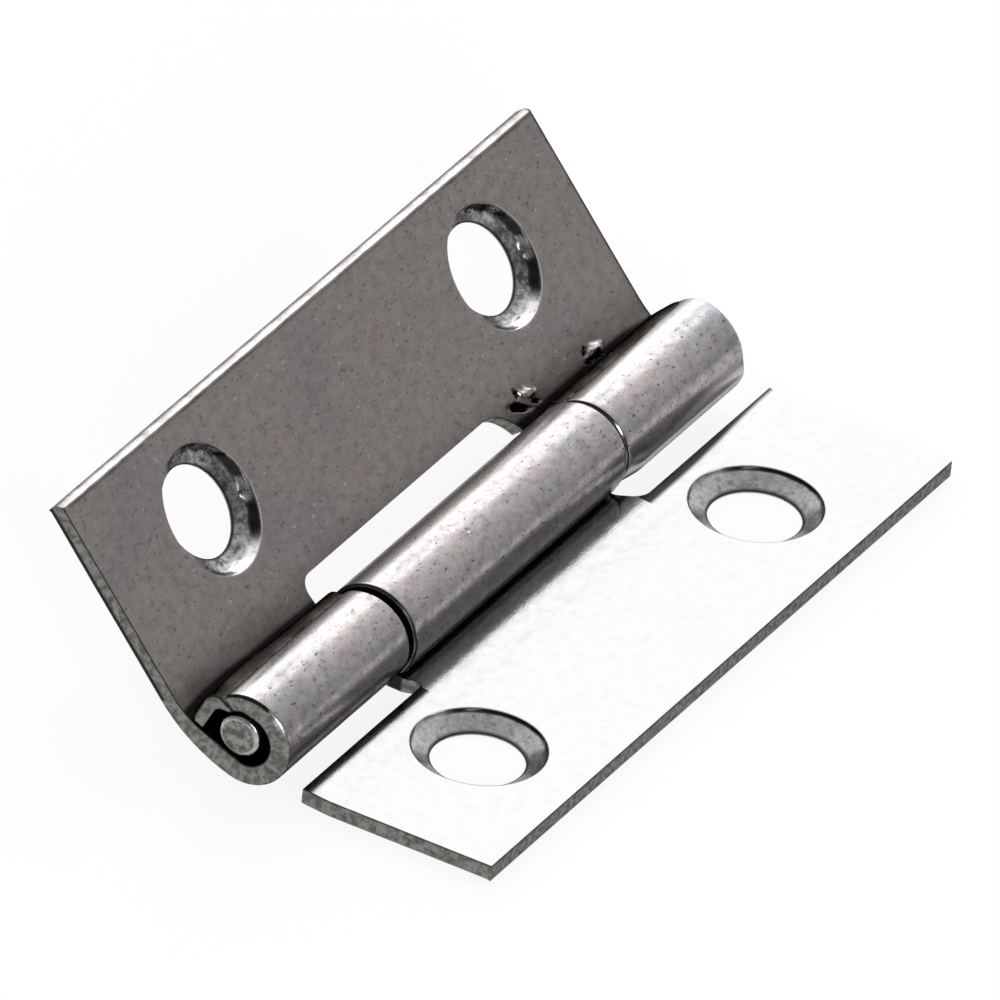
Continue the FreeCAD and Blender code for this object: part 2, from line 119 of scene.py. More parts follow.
class HingeStudio(bpy.types.PropertyGroup):
    azimuth: number("Azimuth", "Camera's turn about the vertical", 26.5286)
    elevation: number("Elevation", "Camera's height above the horizon", 32.8046)
    roll: number("Roll", "Camera's turn about its own line of sight", 6.4212)
    distance: FloatProperty(
        name="Distance", description="From the lens to the hinge", default=2.2, unit="LENGTH"
    )
    width: length("Width", "Width of the view at the hinge", 53.757)
    target: FloatVectorProperty(
        name="Target",
        description="The point in the middle of the picture",
        default=(-0.008577, 0.001344, 0.004808),
        subtype="TRANSLATION",
        size=3,
    )
    room: colour("Room", "Colour of the room round the stage", (1.0, 1.0, 1.0))
    floor: colour("Floor", "Colour of the floor", (0.14, 0.14, 0.14))
    floor_glow: number("Floor glow", "Light that the floor gives off by itself", 0.865)


class HingeFinish(bpy.types.PropertyGroup):
    steel: colour("Steel", "Colour of the rolled satin sheet steel", (0.388, 0.367, 0.374))
    flat: colour("Flat face", "Colour of the fixed leaf's clean top", (0.36, 0.359, 0.361))
    # a darker copy of the steel, laid on the raised leaf's face as painted shade
    shaded_steel: colour("Stained steel", "Colour of the duller raised leaf", (0.283, 0.261, 0.257))
    # the grain's own dark specks, and also painted shade where the grime mark is laid
    dark: colour("Dark specks", "Colour of the grime in the grain", (0.085, 0.072, 0.066))
    light: colour("Light specks", "Colour of rubbed spots", (0.62, 0.6, 0.6))
    cut: colour("Cut edge", "Colour of the sheared edges", (0.2, 0.2, 0.187))
    # also painted shade: black in the splits and cracks, on the tails and along the line beside the rolls
    burr_and_shade: colour("Burr", "Colour of the grime along the sheared edges' borders", (0.025, 0.024, 0.023))
    # painted shade: the black laid inside the rolls and in the gouges' pits
    inside: colour("Inside", "Colour of the unpolished inside of the rolls", (0.008, 0.008, 0.008))
    # also laid as a painted highlight on the pin's rims
    bright: colour("Bright metal", "Colour of freshly cut metal, as in the countersinks", (0.5, 0.495, 0.5))
    # also laid as painted highlights: glints on the rims, the band on top of the rolls and bright lips
    highlight_and_burnish: colour("Burnished metal", "Colour of the rounded edges of the rolls", (0.75, 0.74, 0.73))
    glance: number("Glance", "Share of the light that glancing views of the steel keep", 0.55)
    roughness: FloatProperty(
        name="Roughness", description="Roughness of the satin faces", default=0.25, min=0, max=1
    )


# ---- the rolled sheet


class Section:
    """The bent sheet seen along the pin, as two curves that run together from the leaf's free edge to the tail.

    It is flat, then goes through a gentle lead bend into the tight roll, and ends as a straight tail.

    Both skins follow one parameter, the length along the outer skin in millimetres. While the distance from
    the pin is more than PAIRING, a point of the outer skin and its partner on the inner skin lie at the same
    distance along the leaf. Round the roll they lie on one radius, and on the tail they lie square to it.
    """

    PAIRING = 1.3

    def __init__(self, sizes, side):
        t, lead, tail = sizes.thickness / MM, sizes.lead_radius / MM, sizes.tail / MM
        reach = self.reach = own(sizes, side, "reach")
        self.thickness = t
        radius = round(mm(sizes.pin_radius) + own(sizes, side, "play") + mm(sizes.thickness), 5)
        back = radius + own(sizes, side, "drop")
        lead_x = math.sqrt((lead - radius) ** 2 - (lead - back) ** 2)
        meet = math.atan2(back - lead, -lead_x) + 2 * math.pi
        depth = back - t - own(sizes, side, "tail_gap")
        leave = math.atan2(tail, radius) - math.asin(depth / math.hypot(radius, tail))
        self.tail_way = np.array([math.sin(leave), -math.cos(leave)])

        # the flat part with the start of the lead bend, then the rest of the bend, the roll and the tail
        x = np.linspace(reach, self.PAIRING, 400)
        fall = np.minimum(x - lead_x, 0.0)
        share = np.linspace(0, 1, 120)[1:]
        roll = np.linspace(meet, leave, 900)[1:]
        straight = np.linspace(0, tail, 40)[1:]
        middle = (lead_x, lead - back)
        skins = []
        for inwards in (0, t):
            start = 1.5 * math.pi - np.arcsin(-fall / (lead - inwards))
            bend = start[-1] + (meet - start[-1]) * share
            flat = np.stack([x, lead - back - np.sqrt((lead - inwards) ** 2 - fall**2)], 1)
            end = np.array([(radius - inwards) * math.cos(leave), (radius - inwards) * math.sin(leave)])
            curve = [flat, circle(middle, lead - inwards, bend), circle((0, 0), radius - inwards, roll)]
            curve.append(end + straight[:, None] * self.tail_way)
            angle = [start, bend, roll, np.full(len(straight), leave)]
            skins.append((np.concatenate(curve), np.concatenate(angle)))
        (self.out, self.angle), (self.inn, self.angle_in) = skins
        flat_length = reach - self.PAIRING
        lead_length = lead * (self.angle[len(x) - 1] - meet)
        roll_length = radius * (meet - leave)
        self.length = np.concatenate(
            [
                reach - x,
                flat_length + lead_length * share,
                flat_length + lead_length + radius * (meet - roll),
                flat_length + lead_length + roll_length + straight,
            ]
        )
        self.end = self.length[-1]

    def at_angle(self, degrees):
        """The length at which the roll's radius has this angle from the leaf's own +X."""
        return float(np.interp(-math.radians(degrees), -self.angle, self.length))

    def follow(self, table, p):
        return np.interp(p, self.length, table)

    def place(self, p, share):
        """The point at length p and at a share of the way from the outer skin to the inner one, as x and z."""
        outer = np.stack([self.follow(self.out[:, k], p) for k in (0, 1)], 1)
        inner = np.stack([self.follow(self.inn[:, k], p) for k in (0, 1)], 1)
        return outer + (inner - outer) * np.asarray(share)[:, None]

    def outward(self, p, share):
        """The unit vector that points away from the outer skin, as x and z."""
        angle = self.follow(self.angle, p) * (1 - share) + self.follow(self.angle_in, p) * share
        return np.stack([np.cos(angle), np.sin(angle)], 1)


def circle(centre, radius, angle):
    """Points on a circle at each of the given angles in radians."""
    return np.stack([centre[0] + radius * np.cos(angle), centre[1] + radius * np.sin(angle)], 1)


def lattice(a, b):
    """Every pair of a value of the one row with a value of the other."""
    return np.stack(np.meshgrid(a, b, indexing="ij"), -1).reshape(-1, 2)


def strips(rings):
    """The four-sided faces between each closed row of vertex numbers and the next."""
    pairs = zip(rings, rings[1:])
    return [np.stack([near, far, np.roll(far, -1), np.roll(near, -1)], 1) for near, far in pairs]


def walk(corners, step):
    """A closed outline with each straight run divided into steps of about the given length."""
    corners = np.asarray(corners, float)
    ends = np.roll(corners, -1, 0)
    runs = []
    for start, end in zip(corners, ends):
        count = max(1, int(math.ceil(np.hypot(*(end - start)) / step)))
        share = np.arange(count)[:, None] / count
        runs.append(start + (end - start) * share)
    points = np.concatenate(runs)
    keep = np.hypot(*(points - np.roll(points, 1, 0)).T) > 1e-6
    return points[keep]


def inset(loop, amount):
    """Moves each point of an outline inwards, square to both of its neighbours' runs."""
    before, after = loop - np.roll(loop, 1, 0), np.roll(loop, -1, 0) - loop
    before /= np.hypot(*before.T)[:, None]
    after /= np.hypot(*after.T)[:, None]
    left = np.stack([-(before + after)[:, 1], (before + after)[:, 0]], 1)
    left /= np.hypot(*left.T)[:, None]
    lean = np.maximum(-left[:, 0] * after[:, 1] + left[:, 1] * after[:, 0], 0.5)
    return loop + left * (np.asarray(amount) / lean)[:, None]


def inside(points, loop):
    """Which points lie inside a closed outline, by counting the runs that a ray crosses."""
    x, y = points[:, 0][:, None], points[:, 1][:, None]
    a, b = loop, np.roll(loop, -1, 0)
    result = np.zeros(len(points), bool)
    for part in np.array_split(np.arange(len(points)), max(1, len(points) // 4000)):
        straddle = (a[:, 1] > y[part]) != (b[:, 1] > y[part])
        rise = np.where(b[:, 1] == a[:, 1], 1.0, b[:, 1] - a[:, 1])
        cross = a[:, 0] + (y[part] - a[:, 1]) * (b[:, 0] - a[:, 0]) / rise
        result[part] = (straddle & (x[part] < cross)).sum(1) % 2 == 1
    return result


def clear_of(points, loop, gap):
    """Which points are further than a gap from every point of an outline."""
    result = np.ones(len(points), bool)
    for part in np.array_split(np.arange(len(points)), max(1, len(points) // 4000)):
        away = points[part][:, None, :] - loop[None, :, :]
        result[part] = (away**2).sum(2).min(1) > gap**2
    return result


def fill(outline, holes, points):
    """Triangles that fill an outline round its holes, through the given inner points.

    The vertices come back as one array: outline, holes one after another, then inner points.
    """
    loops = [outline, *holes]
    vertices = np.concatenate([*loops, points])
    edges, start = [], 0
    for loop in loops:
        count = len(loop)
        edges += [(start + k, start + (k + 1) % count) for k in range(count)]
        start += count
    _, _, faces, origin, _, _ = delaunay_2d_cdt(vertices.tolist(), edges, [], 1, 1e-9, True)
    names = np.array([item[0] for item in origin])
    triangles = names[np.array([face for face in faces if len(face) == 3])]
    middle = vertices[triangles].mean(1)
    keep = inside(middle, outline)
    for hole in holes:
        keep &= ~inside(middle, hole)
    triangles = triangles[keep]
    a, b, c = (vertices[triangles[:, k]] for k in range(3))
    turn = (b - a)[:, 0] * (c - a)[:, 1] - (b - a)[:, 1] * (c - a)[:, 0]
    triangles[turn < 0] = triangles[turn < 0][:, ::-1]
    return vertices, triangles[np.abs(turn) > 1e-9]


def smooth_noise(u, v, cell, seed):
    """Soft random hills between -1 and 1: random heights on a lattice, joined by smooth steps."""
    rng = np.random.default_rng(seed)
    heights = rng.uniform(-1, 1, (128, 128))
    a, b = u / cell + 31.7, v / cell + 57.3
    i, j = np.floor(a).astype(int), np.floor(b).astype(int)
    s, t = a - i, b - j
    s, t = s * s * (3 - 2 * s), t * t * (3 - 2 * t)

    def at(m, n):
        return heights[m % 128, n % 128]

    low = at(i, j) * (1 - s) + at(i + 1, j) * s
    high = at(i, j + 1) * (1 - s) + at(i + 1, j + 1) * s
    return low * (1 - t) + high * t


def mound(u, v, half_u, half_v):
    """A rounded hill of height 1 over an ellipse: one less the squared distance from its middle, squared."""
    away = (u / half_u) ** 2 + (v / half_v) ** 2
    return np.maximum(1 - away, 0) ** 2


def ease(value, low, high):
    """Goes smoothly from 0 at low to 1 at high, which may be the smaller of the two."""
    part = np.clip((value - low) / (high - low), 0, 1)
    return part * part * (3 - 2 * part)


def peak(value, middle, width):
    """A soft peak of height 1: the exponential of minus the squared distance from its middle in widths."""
    return np.exp(-(((value - middle) / width) ** 2))


def make_mesh(name, points, faces, attributes, sharp_degrees):
    """A smooth mesh in metres from points in millimetres, with its attributes and its sharp edges marked."""
    mesh = bpy.data.meshes.new(name)
    mesh.from_pydata((points * MM).tolist(), [], [face.tolist() for part in faces for face in part])
    for key, values in attributes.items():
        mesh.attributes.new(key, "FLOAT", "POINT").data.foreach_set("value", values.astype(np.float32))
    mesh.shade_smooth()
    mesh.set_sharp_from_angle(angle=math.radians(sharp_degrees))
    mesh.update()
    return mesh


# the angles of the points round a hole, clockwise so that the sheet lies on the left
HOLE_ANGLES = -np.arange(120) * 2 * math.pi / 120
# how deep the straight bore under a countersink goes, and how wide the border round its mouth is
BORE_DEEP, BORDER = 0.12, 0.12
# the depth for its width of the steep wall below a mouth, and of the bevel along the raised leaf's free edge
WALL_SLOPE, BEVEL_SLOPE = 1.32, 1.235


def sector(middle, full, none):
    """Round a hole, 1 up to `full` degrees away from a direction and smoothly down to 0 at `none` degrees."""
    away = np.cos(HOLE_ANGLES - math.radians(middle))
    return ease(away, math.cos(math.radians(none)), math.cos(math.radians(full)))


class Hole(NamedTuple):
    """A countersunk hole on the flat pattern, in millimetres and degrees.

    The bore and the mouth may each lie a little off the centre. The wall is the width of the steep strip below
    the mouth. On one arc a highlight is painted on it and on another painted shade: each has a middle and a half
    width.
    """

    centre: tuple
    bore: float
    mouth: float
    bore_shift: tuple
    mouth_shift: tuple
    wall: float
    bright: tuple
    shaded_arc: tuple

    def ring(self, radius, part):
        """A circle of points whose middle is a part of the way from the bore's to the mouth's."""
        bore, mouth = np.array(self.bore_shift), np.array(self.mouth_shift)
        return circle(np.array(self.centre) + bore * (1 - part) + mouth * part, radius, HOLE_ANGLES)


class Leaf:
    """A leaf as a filled outline on each skin, with walls between them round the outline and the holes.

    The walls are a profile carried round each outline. On the outside of the sheet the profile is a quarter
    circle, then it goes straight through the sheet, and it ends in a bevel on the inner face: narrow all round,
    and wider along the raised leaf's free edge. Round a hole it is a short bore and the cone of the countersink.
    """

    def __init__(self, sizes, section, outline, round_radius, holes, bevel, extra):
        self.section, self.small = section, sizes.face_break / MM
        self.points, self.shares, self.faces = [], [], []
        self.marks = {key: [] for key in ("cut", "cone", "rim", "edge", "lip")}
        step = sizes.grid / MM

        low, high = outline.min(0), outline.max(0)
        grid = lattice(np.arange(low[0], high[0], step), np.arange(low[1], high[1], step))
        grid = np.concatenate([grid, extra])
        inner_loop = inset(outline, self.small)
        inner_loop[:, 0] += (bevel - self.small) * np.clip(1 - outline[:, 0], 0, 1)

        skins = []
        for loop, share in ((inset(outline, round_radius), 0.0), (inner_loop, 1.0)):
            rims = [hole.ring(hole.mouth + BORDER if share else hole.bore, share) for hole in holes]
            inner = grid[inside(grid, loop)]
            inner = inner[clear_of(inner, loop, 0.55 * step)]
            for rim in rims:
                inner = inner[~inside(inner, rim)]
                inner = inner[clear_of(inner, rim, 0.5 * step)]
            vertices, triangles = fill(loop, rims, inner)
            skins.append(self.add(vertices, share))
            self.faces.append((triangles[:, ::-1] if share else triangles) + skins[-1])

        self.outline_wall(outline, round_radius, bevel, skins)
        for k, hole in enumerate(holes):
            self.hole_wall(hole, skins, len(outline) + k * len(HOLE_ANGLES))

    def outline_wall(self, outline, round_radius, bevel, skins):
        """The wall round the outline, in rows of how far in, how deep, and how much cut metal, burr and edge."""
        t, small = self.section.thickness, self.small
        free = outline[:, 0] < 1e-6
        deepest = np.where(free, 1 - BEVEL_SLOPE * bevel / t, 1 - small / t)
        rows = []
        for k, cut in enumerate((0.0, 0.0, 0.0, 0.0, 0.4, 1.0)):
            angle = math.radians(18 * k)
            depth = round_radius * (1 - math.cos(angle)) / t
            rows.append((round_radius * (1 - math.sin(angle)), depth, cut, 0.0, math.sin(2 * angle)))
        for part in (0.12, 0.3, 0.5, 0.7, 0.88):
            rows.append((0.0, depth + (deepest - depth) * part, 1.0, 0.0, 0.0))
        plain = np.where(free & (bevel > 2 * small), 0.0, 1.0)
        rows += [(0.0, deepest, plain, plain, 0.0), (small, 1.0, 0.0, 0.3, 0.0)]
        self.wall([inset(outline, row[0]) for row in rows], rows, ("cut", "rim", "edge"), skins, 0)

    def hole_wall(self, hole, skins, start):
        """A short bore, the cone, a steep ragged wall below the mouth and the mouth's edge.

        Each row has its radius, its depth, and how much cut metal, cone, dark rim and bright lip it has. The dark
        rim is painted shade on one arc of the wall, and the bright lip is a painted highlight on another arc.
        """
        t, small = self.section.thickness, self.small
        bore, mouth, wide = hole.bore, hole.mouth, hole.wall > 0.2
        foot, foot_deep, straight = mouth - hole.wall, 1 - WALL_SLOPE * hole.wall / t, BORE_DEEP / t
        # the arc of painted highlight and the arc of painted shade round the hole
        bright, shaded_arc = (sector(middle, 0.8 * half, 1.5 * half) for middle, half in (hole.bright, hole.shaded_arc))
        ragged = smooth_noise(np.cos(HOLE_ANGLES) * 3.3, np.sin(HOLE_ANGLES) * 3.3, 0.5, 41)
        ragged = 0.3 * hole.wall * ragged
        rows = [(bore, 0.0, 1.0, 0.0, 0.6, 0.0), (bore, straight, 0.4, 0.0, 1.0, 0.0)]
        for part in (0.08, 0.25, 0.42, 0.58, 0.75, 0.92):
            # painted highlight on the upper cone within the bright arc
            glow = 0.45 * bright * (part > 0.7) * wide
            depth = straight + (foot_deep - straight) * part
            rows.append((bore + (foot - bore) * part, depth, 0.0, 1.0, 0.7 * (part < 0.1), glow))
        rows.append((foot + ragged, foot_deep, 0.0, 1.0, 0.7 * shaded_arc, 0.6 * bright))
        for part in (0.25, 0.5, 0.75):
            radius = foot + hole.wall * part + ragged * (1 - part)
            rows.append((radius, foot_deep + (1 - foot_deep) * part, 0.0, 1.0, shaded_arc, bright))
        rows.append((mouth - small, 1 - 0.8 * small / t, 0.0, 1.0, 0.7 - 0.7 * bright, bright))
        # painted highlight: a light outline just outside the mouth on one arc
        rows.append((mouth + 0.3 * BORDER, 1.0, 0.0, 0.0, 0.0, 0.9 * sector(-88, 25, 60) * wide))
        rows.append((mouth + BORDER, 1.0, 0.0, 0.0, 0.0, 0.0))
        loops = [hole.ring(row[0], np.clip((row[1] - straight) / (1 - straight), 0, 1)) for row in rows]
        self.wall(loops, rows, ("cut", "cone", "rim", "lip"), skins, start)

    def add(self, points, share, **marks):
        """Adds points at a share of the way through the sheet, and returns the number of the first."""
        first = sum(len(part) for part in self.points)
        self.points.append(points)
        self.shares.append(np.broadcast_to(share, len(points)).astype(float))
        for key, store in self.marks.items():
            store.append(np.broadcast_to(marks.get(key, 0.0), len(points)).astype(float))
        return first

    def wall(self, loops, rows, keys, skins, start):
        """Joins a row of loops into a wall. The first and last loops are the skins' own vertices.

        Each loop has a row, with its depth in second place and then its mark for each key.
        """
        numbers = np.arange(len(loops[0]))
        rings = [skins[0] + start + numbers]
        for loop, row in zip(loops[1:-1], rows[1:-1]):
            rings.append(self.add(loop, row[1], **dict(zip(keys, row[2:]))) + numbers)
        self.faces += strips([*rings, skins[1] + start + numbers])

    def build(self, name, relief, matrix):
        """Lays the flat pattern round the section, raises its relief and returns the finished mesh.

        The relief gives the height over each skin, the bend of both, the stretch of the tail and the slide along
        the pin. Its other parts become the mesh's marks, which the finish reads: gap is the distance past the
        dark line of painted shade along the knuckles, and across, along and deep are the place on the flat
        pattern.
        The lips' brightness, the shine on the rolls and the glint on the rims are painted highlights; the black in
        the pits and inside the rolls, most of the grime and the dark rims in the splits and cracks are painted
        shade.
        """
        section, share = self.section, np.concatenate(self.shares)
        p, y = np.concatenate(self.points).T
        marks = {key: np.concatenate(parts) for key, parts in self.marks.items()}
        found = dict.fromkeys(("slide", "stretch", "dull", "lip", "pit", "glint_and_wear"), np.zeros(len(p)))
        found.update(relief(section, p, y, share, marks))
        rise = found["rise_out"] * (1 - share) - found["rise_in"] * share
        xz = section.place(p, share) + section.outward(p, share) * (rise + found["bend"])[:, None]
        xz = xz + np.outer(found["stretch"], section.tail_way)
        points = np.stack([xz[:, 0], y + found["slide"], xz[:, 1]], 1)
        points = points @ np.array(matrix.to_3x3()).T + np.array(matrix.translation)[None, :]
        inner = np.where(share > 0.9, 1.0, 0.0)
        attributes = {
            "cut": np.maximum(marks["cut"], found["dull"]),
            "cone": marks["cone"],
            "lip": np.maximum(marks["lip"], found["lip"]),
            "rim": np.maximum(marks["rim"], found["rim"]),
            "edge": marks["edge"] * np.clip(p - (section.reach - 3.0), 0, 1) * found["glint_and_wear"],
            "gap": p - found["gap"],
            # black painted shade on the inner skin inside the rolls
            "bore": np.clip((p - (section.reach - 2.1)) / 0.5, 0, 1) * inner * (1 - marks["cut"]),
            "inner": inner,
            "pit": found["pit"],
            "painted_shine": found["painted_shine"],
            "grime_and_shade": found["grime_and_shade"],
            "across": p,
            "along": y,
            "deep": share * section.thickness,
        }
        return make_mesh(name, points, self.faces, attributes, 40)


# The outlines are drawn on the flat pattern: first the length along the outer skin from the free edge, which is
# the reach less the distance from the pin while the leaf is flat, and then the place along the pin. The leaves'
# middles lie a little to the near side of the origin.


def corner_arc(reach, centre_x, centre_y, radius, first, last):
    """An arc of a notch's corner, between two angles in degrees from +X away from the pin."""
    angle = np.radians(np.linspace(first, last, max(6, int(radius * 14))))
    points = circle((centre_x, centre_y), radius, angle)
    return np.stack([reach - points[:, 0], points[:, 1]], 1)


def joined(corners):
    return np.concatenate([np.asarray(part, float) for part in corners])


def fixed_outline(section, half_length):
    """The fixed leaf: a plate with one tongue, which rolls up into the middle knuckle."""
    reach, end = section.reach, section.end
    low, high = 0.35 - half_length, 0.35 + half_length
    tongue_low, tongue_high = -11.78, 11.02
    near_x, far_x, tight, wide = 3.45, 3.7, 0.4, 1.3
    near_arc = corner_arc(reach, near_x - tight, tongue_low - tight, tight, 90, 0)
    far_arc = corner_arc(reach, far_x - wide, tongue_high + wide, wide, 0, -90)
    return joined(
        [
            [(0.0, low), (reach - near_x, low)],
            near_arc[::-1],
            [(end, tongue_low), (end, tongue_high)],
            far_arc[::-1],
            [(reach - far_x, high), (0.0, high)],
        ]
    )


def raised_outline(section, half_length):
    """The raised leaf: a plate with a tongue at each end, which roll up into the near and far knuckles."""
    reach, end = section.reach, section.end
    low, high = 0.25 - half_length, 0.25 + half_length
    notch_low, notch_high = -11.02 + 0.3, 11.78 - 0.3
    gap_low, gap_high = -11.02 - 0.25, 11.78 + 0.5
    notch_x, step_x, set_back = 4.0, 2.2, low + 0.85
    step = reach - step_x
    wide, tight = 2.6, 0.9
    meets = math.degrees(math.acos((step_x - (notch_x - wide)) / wide))
    low_arc = corner_arc(reach, notch_x - wide, notch_low + wide, wide, 0, -meets)
    high_arc = corner_arc(reach, notch_x - tight, notch_high - tight, tight, 90, 0)
    return joined(
        [
            [(0.0, low), (step, low), (step, set_back), (end, set_back), (end, gap_low), (step, gap_low)],
            low_arc[::-1],
            high_arc[::-1],
            [(step, notch_high), (step, gap_high), (end, gap_high), (end, high), (0.0, high)],
        ]
    )


def rounding(outline, section, sizes):
    """The rounding of each outline point: the tail's edge, the free edge, and the rest of the outer skin."""
    result = np.full(len(outline), sizes.skin_round / MM)
    result[outline[:, 0] > section.end - 1e-6] = sizes.tail_round / MM
    result[outline[:, 0] < 1e-6] = mm(sizes.free_round)
    return result


def pin_line(sizes):
    """Where the pin lies: off the fixed leaf's holes, and above its back by the pin, the play and the sheet."""
    height = mm(sizes.pin_radius) + mm(sizes.fixed_play) + mm(sizes.thickness) + mm(sizes.fixed_drop)
    return Vector((-mm(sizes.fixed_hole_reach), 0.0, height))


def hole_centres(sizes, section, side, middle):
    across, spacing = section.reach - own(sizes, side, "hole_reach"), own(sizes, side, "hole_spacing")
    return [(across, middle + way * spacing / 2) for way in (-1, 1)]


def along_pin(y, cell, seed):
    """Soft noise that changes only with the place along the pin."""
    return smooth_noise(y, y * 0, cell, seed)


def highlight_band(turn, share):
    """The band on top of a roll's outer skin where a highlight is painted, between two smooth steps round the pin
    in degrees.
    """
    return ease(turn, 88.0, 100.0) * ease(turn, 122.0, 112.0) * (share < 0.5)


def fixed_relief(section, p, y, share, marks):
    """The fixed leaf's unevenness: soft noise in two sizes, less a mound for each nick and a scratch.

    The scratch is a thin peak along a wavering line, and it breaks off where a second noise is low. Beside the
    middle knuckle the sheet dips, by one smooth step down and one up.
    """
    reach = section.reach
    waves = 0.006 * smooth_noise(p, y, 3.1, 3) + 0.0025 * smooth_noise(p, y, 0.9, 4)
    rise = waves.copy()
    for degrees, place, half_p, half_y, depth in NICKS:
        rise -= depth * mound(p - section.at_angle(degrees), y - place, half_p, half_y)
    line = section.at_angle(15.0) + 0.1 * along_pin(y, 2.3, 21)
    scratch = peak(p, line, 0.06) * ease(along_pin(y, 1.1, 22), -0.5, 0.1) * (share < 0.5)
    rise -= 0.02 * scratch
    torn = np.maximum(marks["cut"], np.clip(2 * marks["edge"] - 0.7, 0, 1))
    far_line = -4.2 + 0.38 * ease(y, 15.0, 25.0)
    return {
        "rise_out": rise,
        "rise_in": waves,
        "bend": -0.15 * ease(p, reach - 5.4, reach - 3.2) * ease(p, reach - 2.1, reach - 3.0),
        "grime_and_shade": 0.75 * scratch,
        # painted shade: black on the cut faces in the splits beside the middle knuckle
        "rim": (p > reach - 2.2) * ((y < -11.55) | (y > 10.8)) * torn,
        # where the line of painted shade on the top face begins, beside the knuckles at both ends
        "gap": reach + np.where(y > 11.3, far_line, np.where(y < -12.0, -3.92, 90.0)),
        # painted highlight on top of the roll
        "painted_shine": 0.3 * highlight_band(np.degrees(section.follow(section.angle, p)), share),
    }


def raised_turn(section, p):
    """How far round the pin a point of the raised leaf lies, in degrees from the fixed leaf's own plane."""
    return OPEN_ANGLE - np.degrees(section.follow(section.angle, p))


def blot(section, p, y, middle, slant, half_long, half_short):
    """A ragged mound that lies aslant on the leaf. Its middle is a distance from the pin and a place along it."""
    along, off = y - middle[1], section.reach - middle[0] - p
    c, s = math.cos(math.radians(slant)), math.sin(math.radians(slant))
    ragged_u, ragged_v = (0.35 * half_short * smooth_noise(p, y, 0.26, seed) for seed in (12, 13))
    return mound(along * c + off * s + ragged_u, off * c - along * s + ragged_v, half_long, half_short)


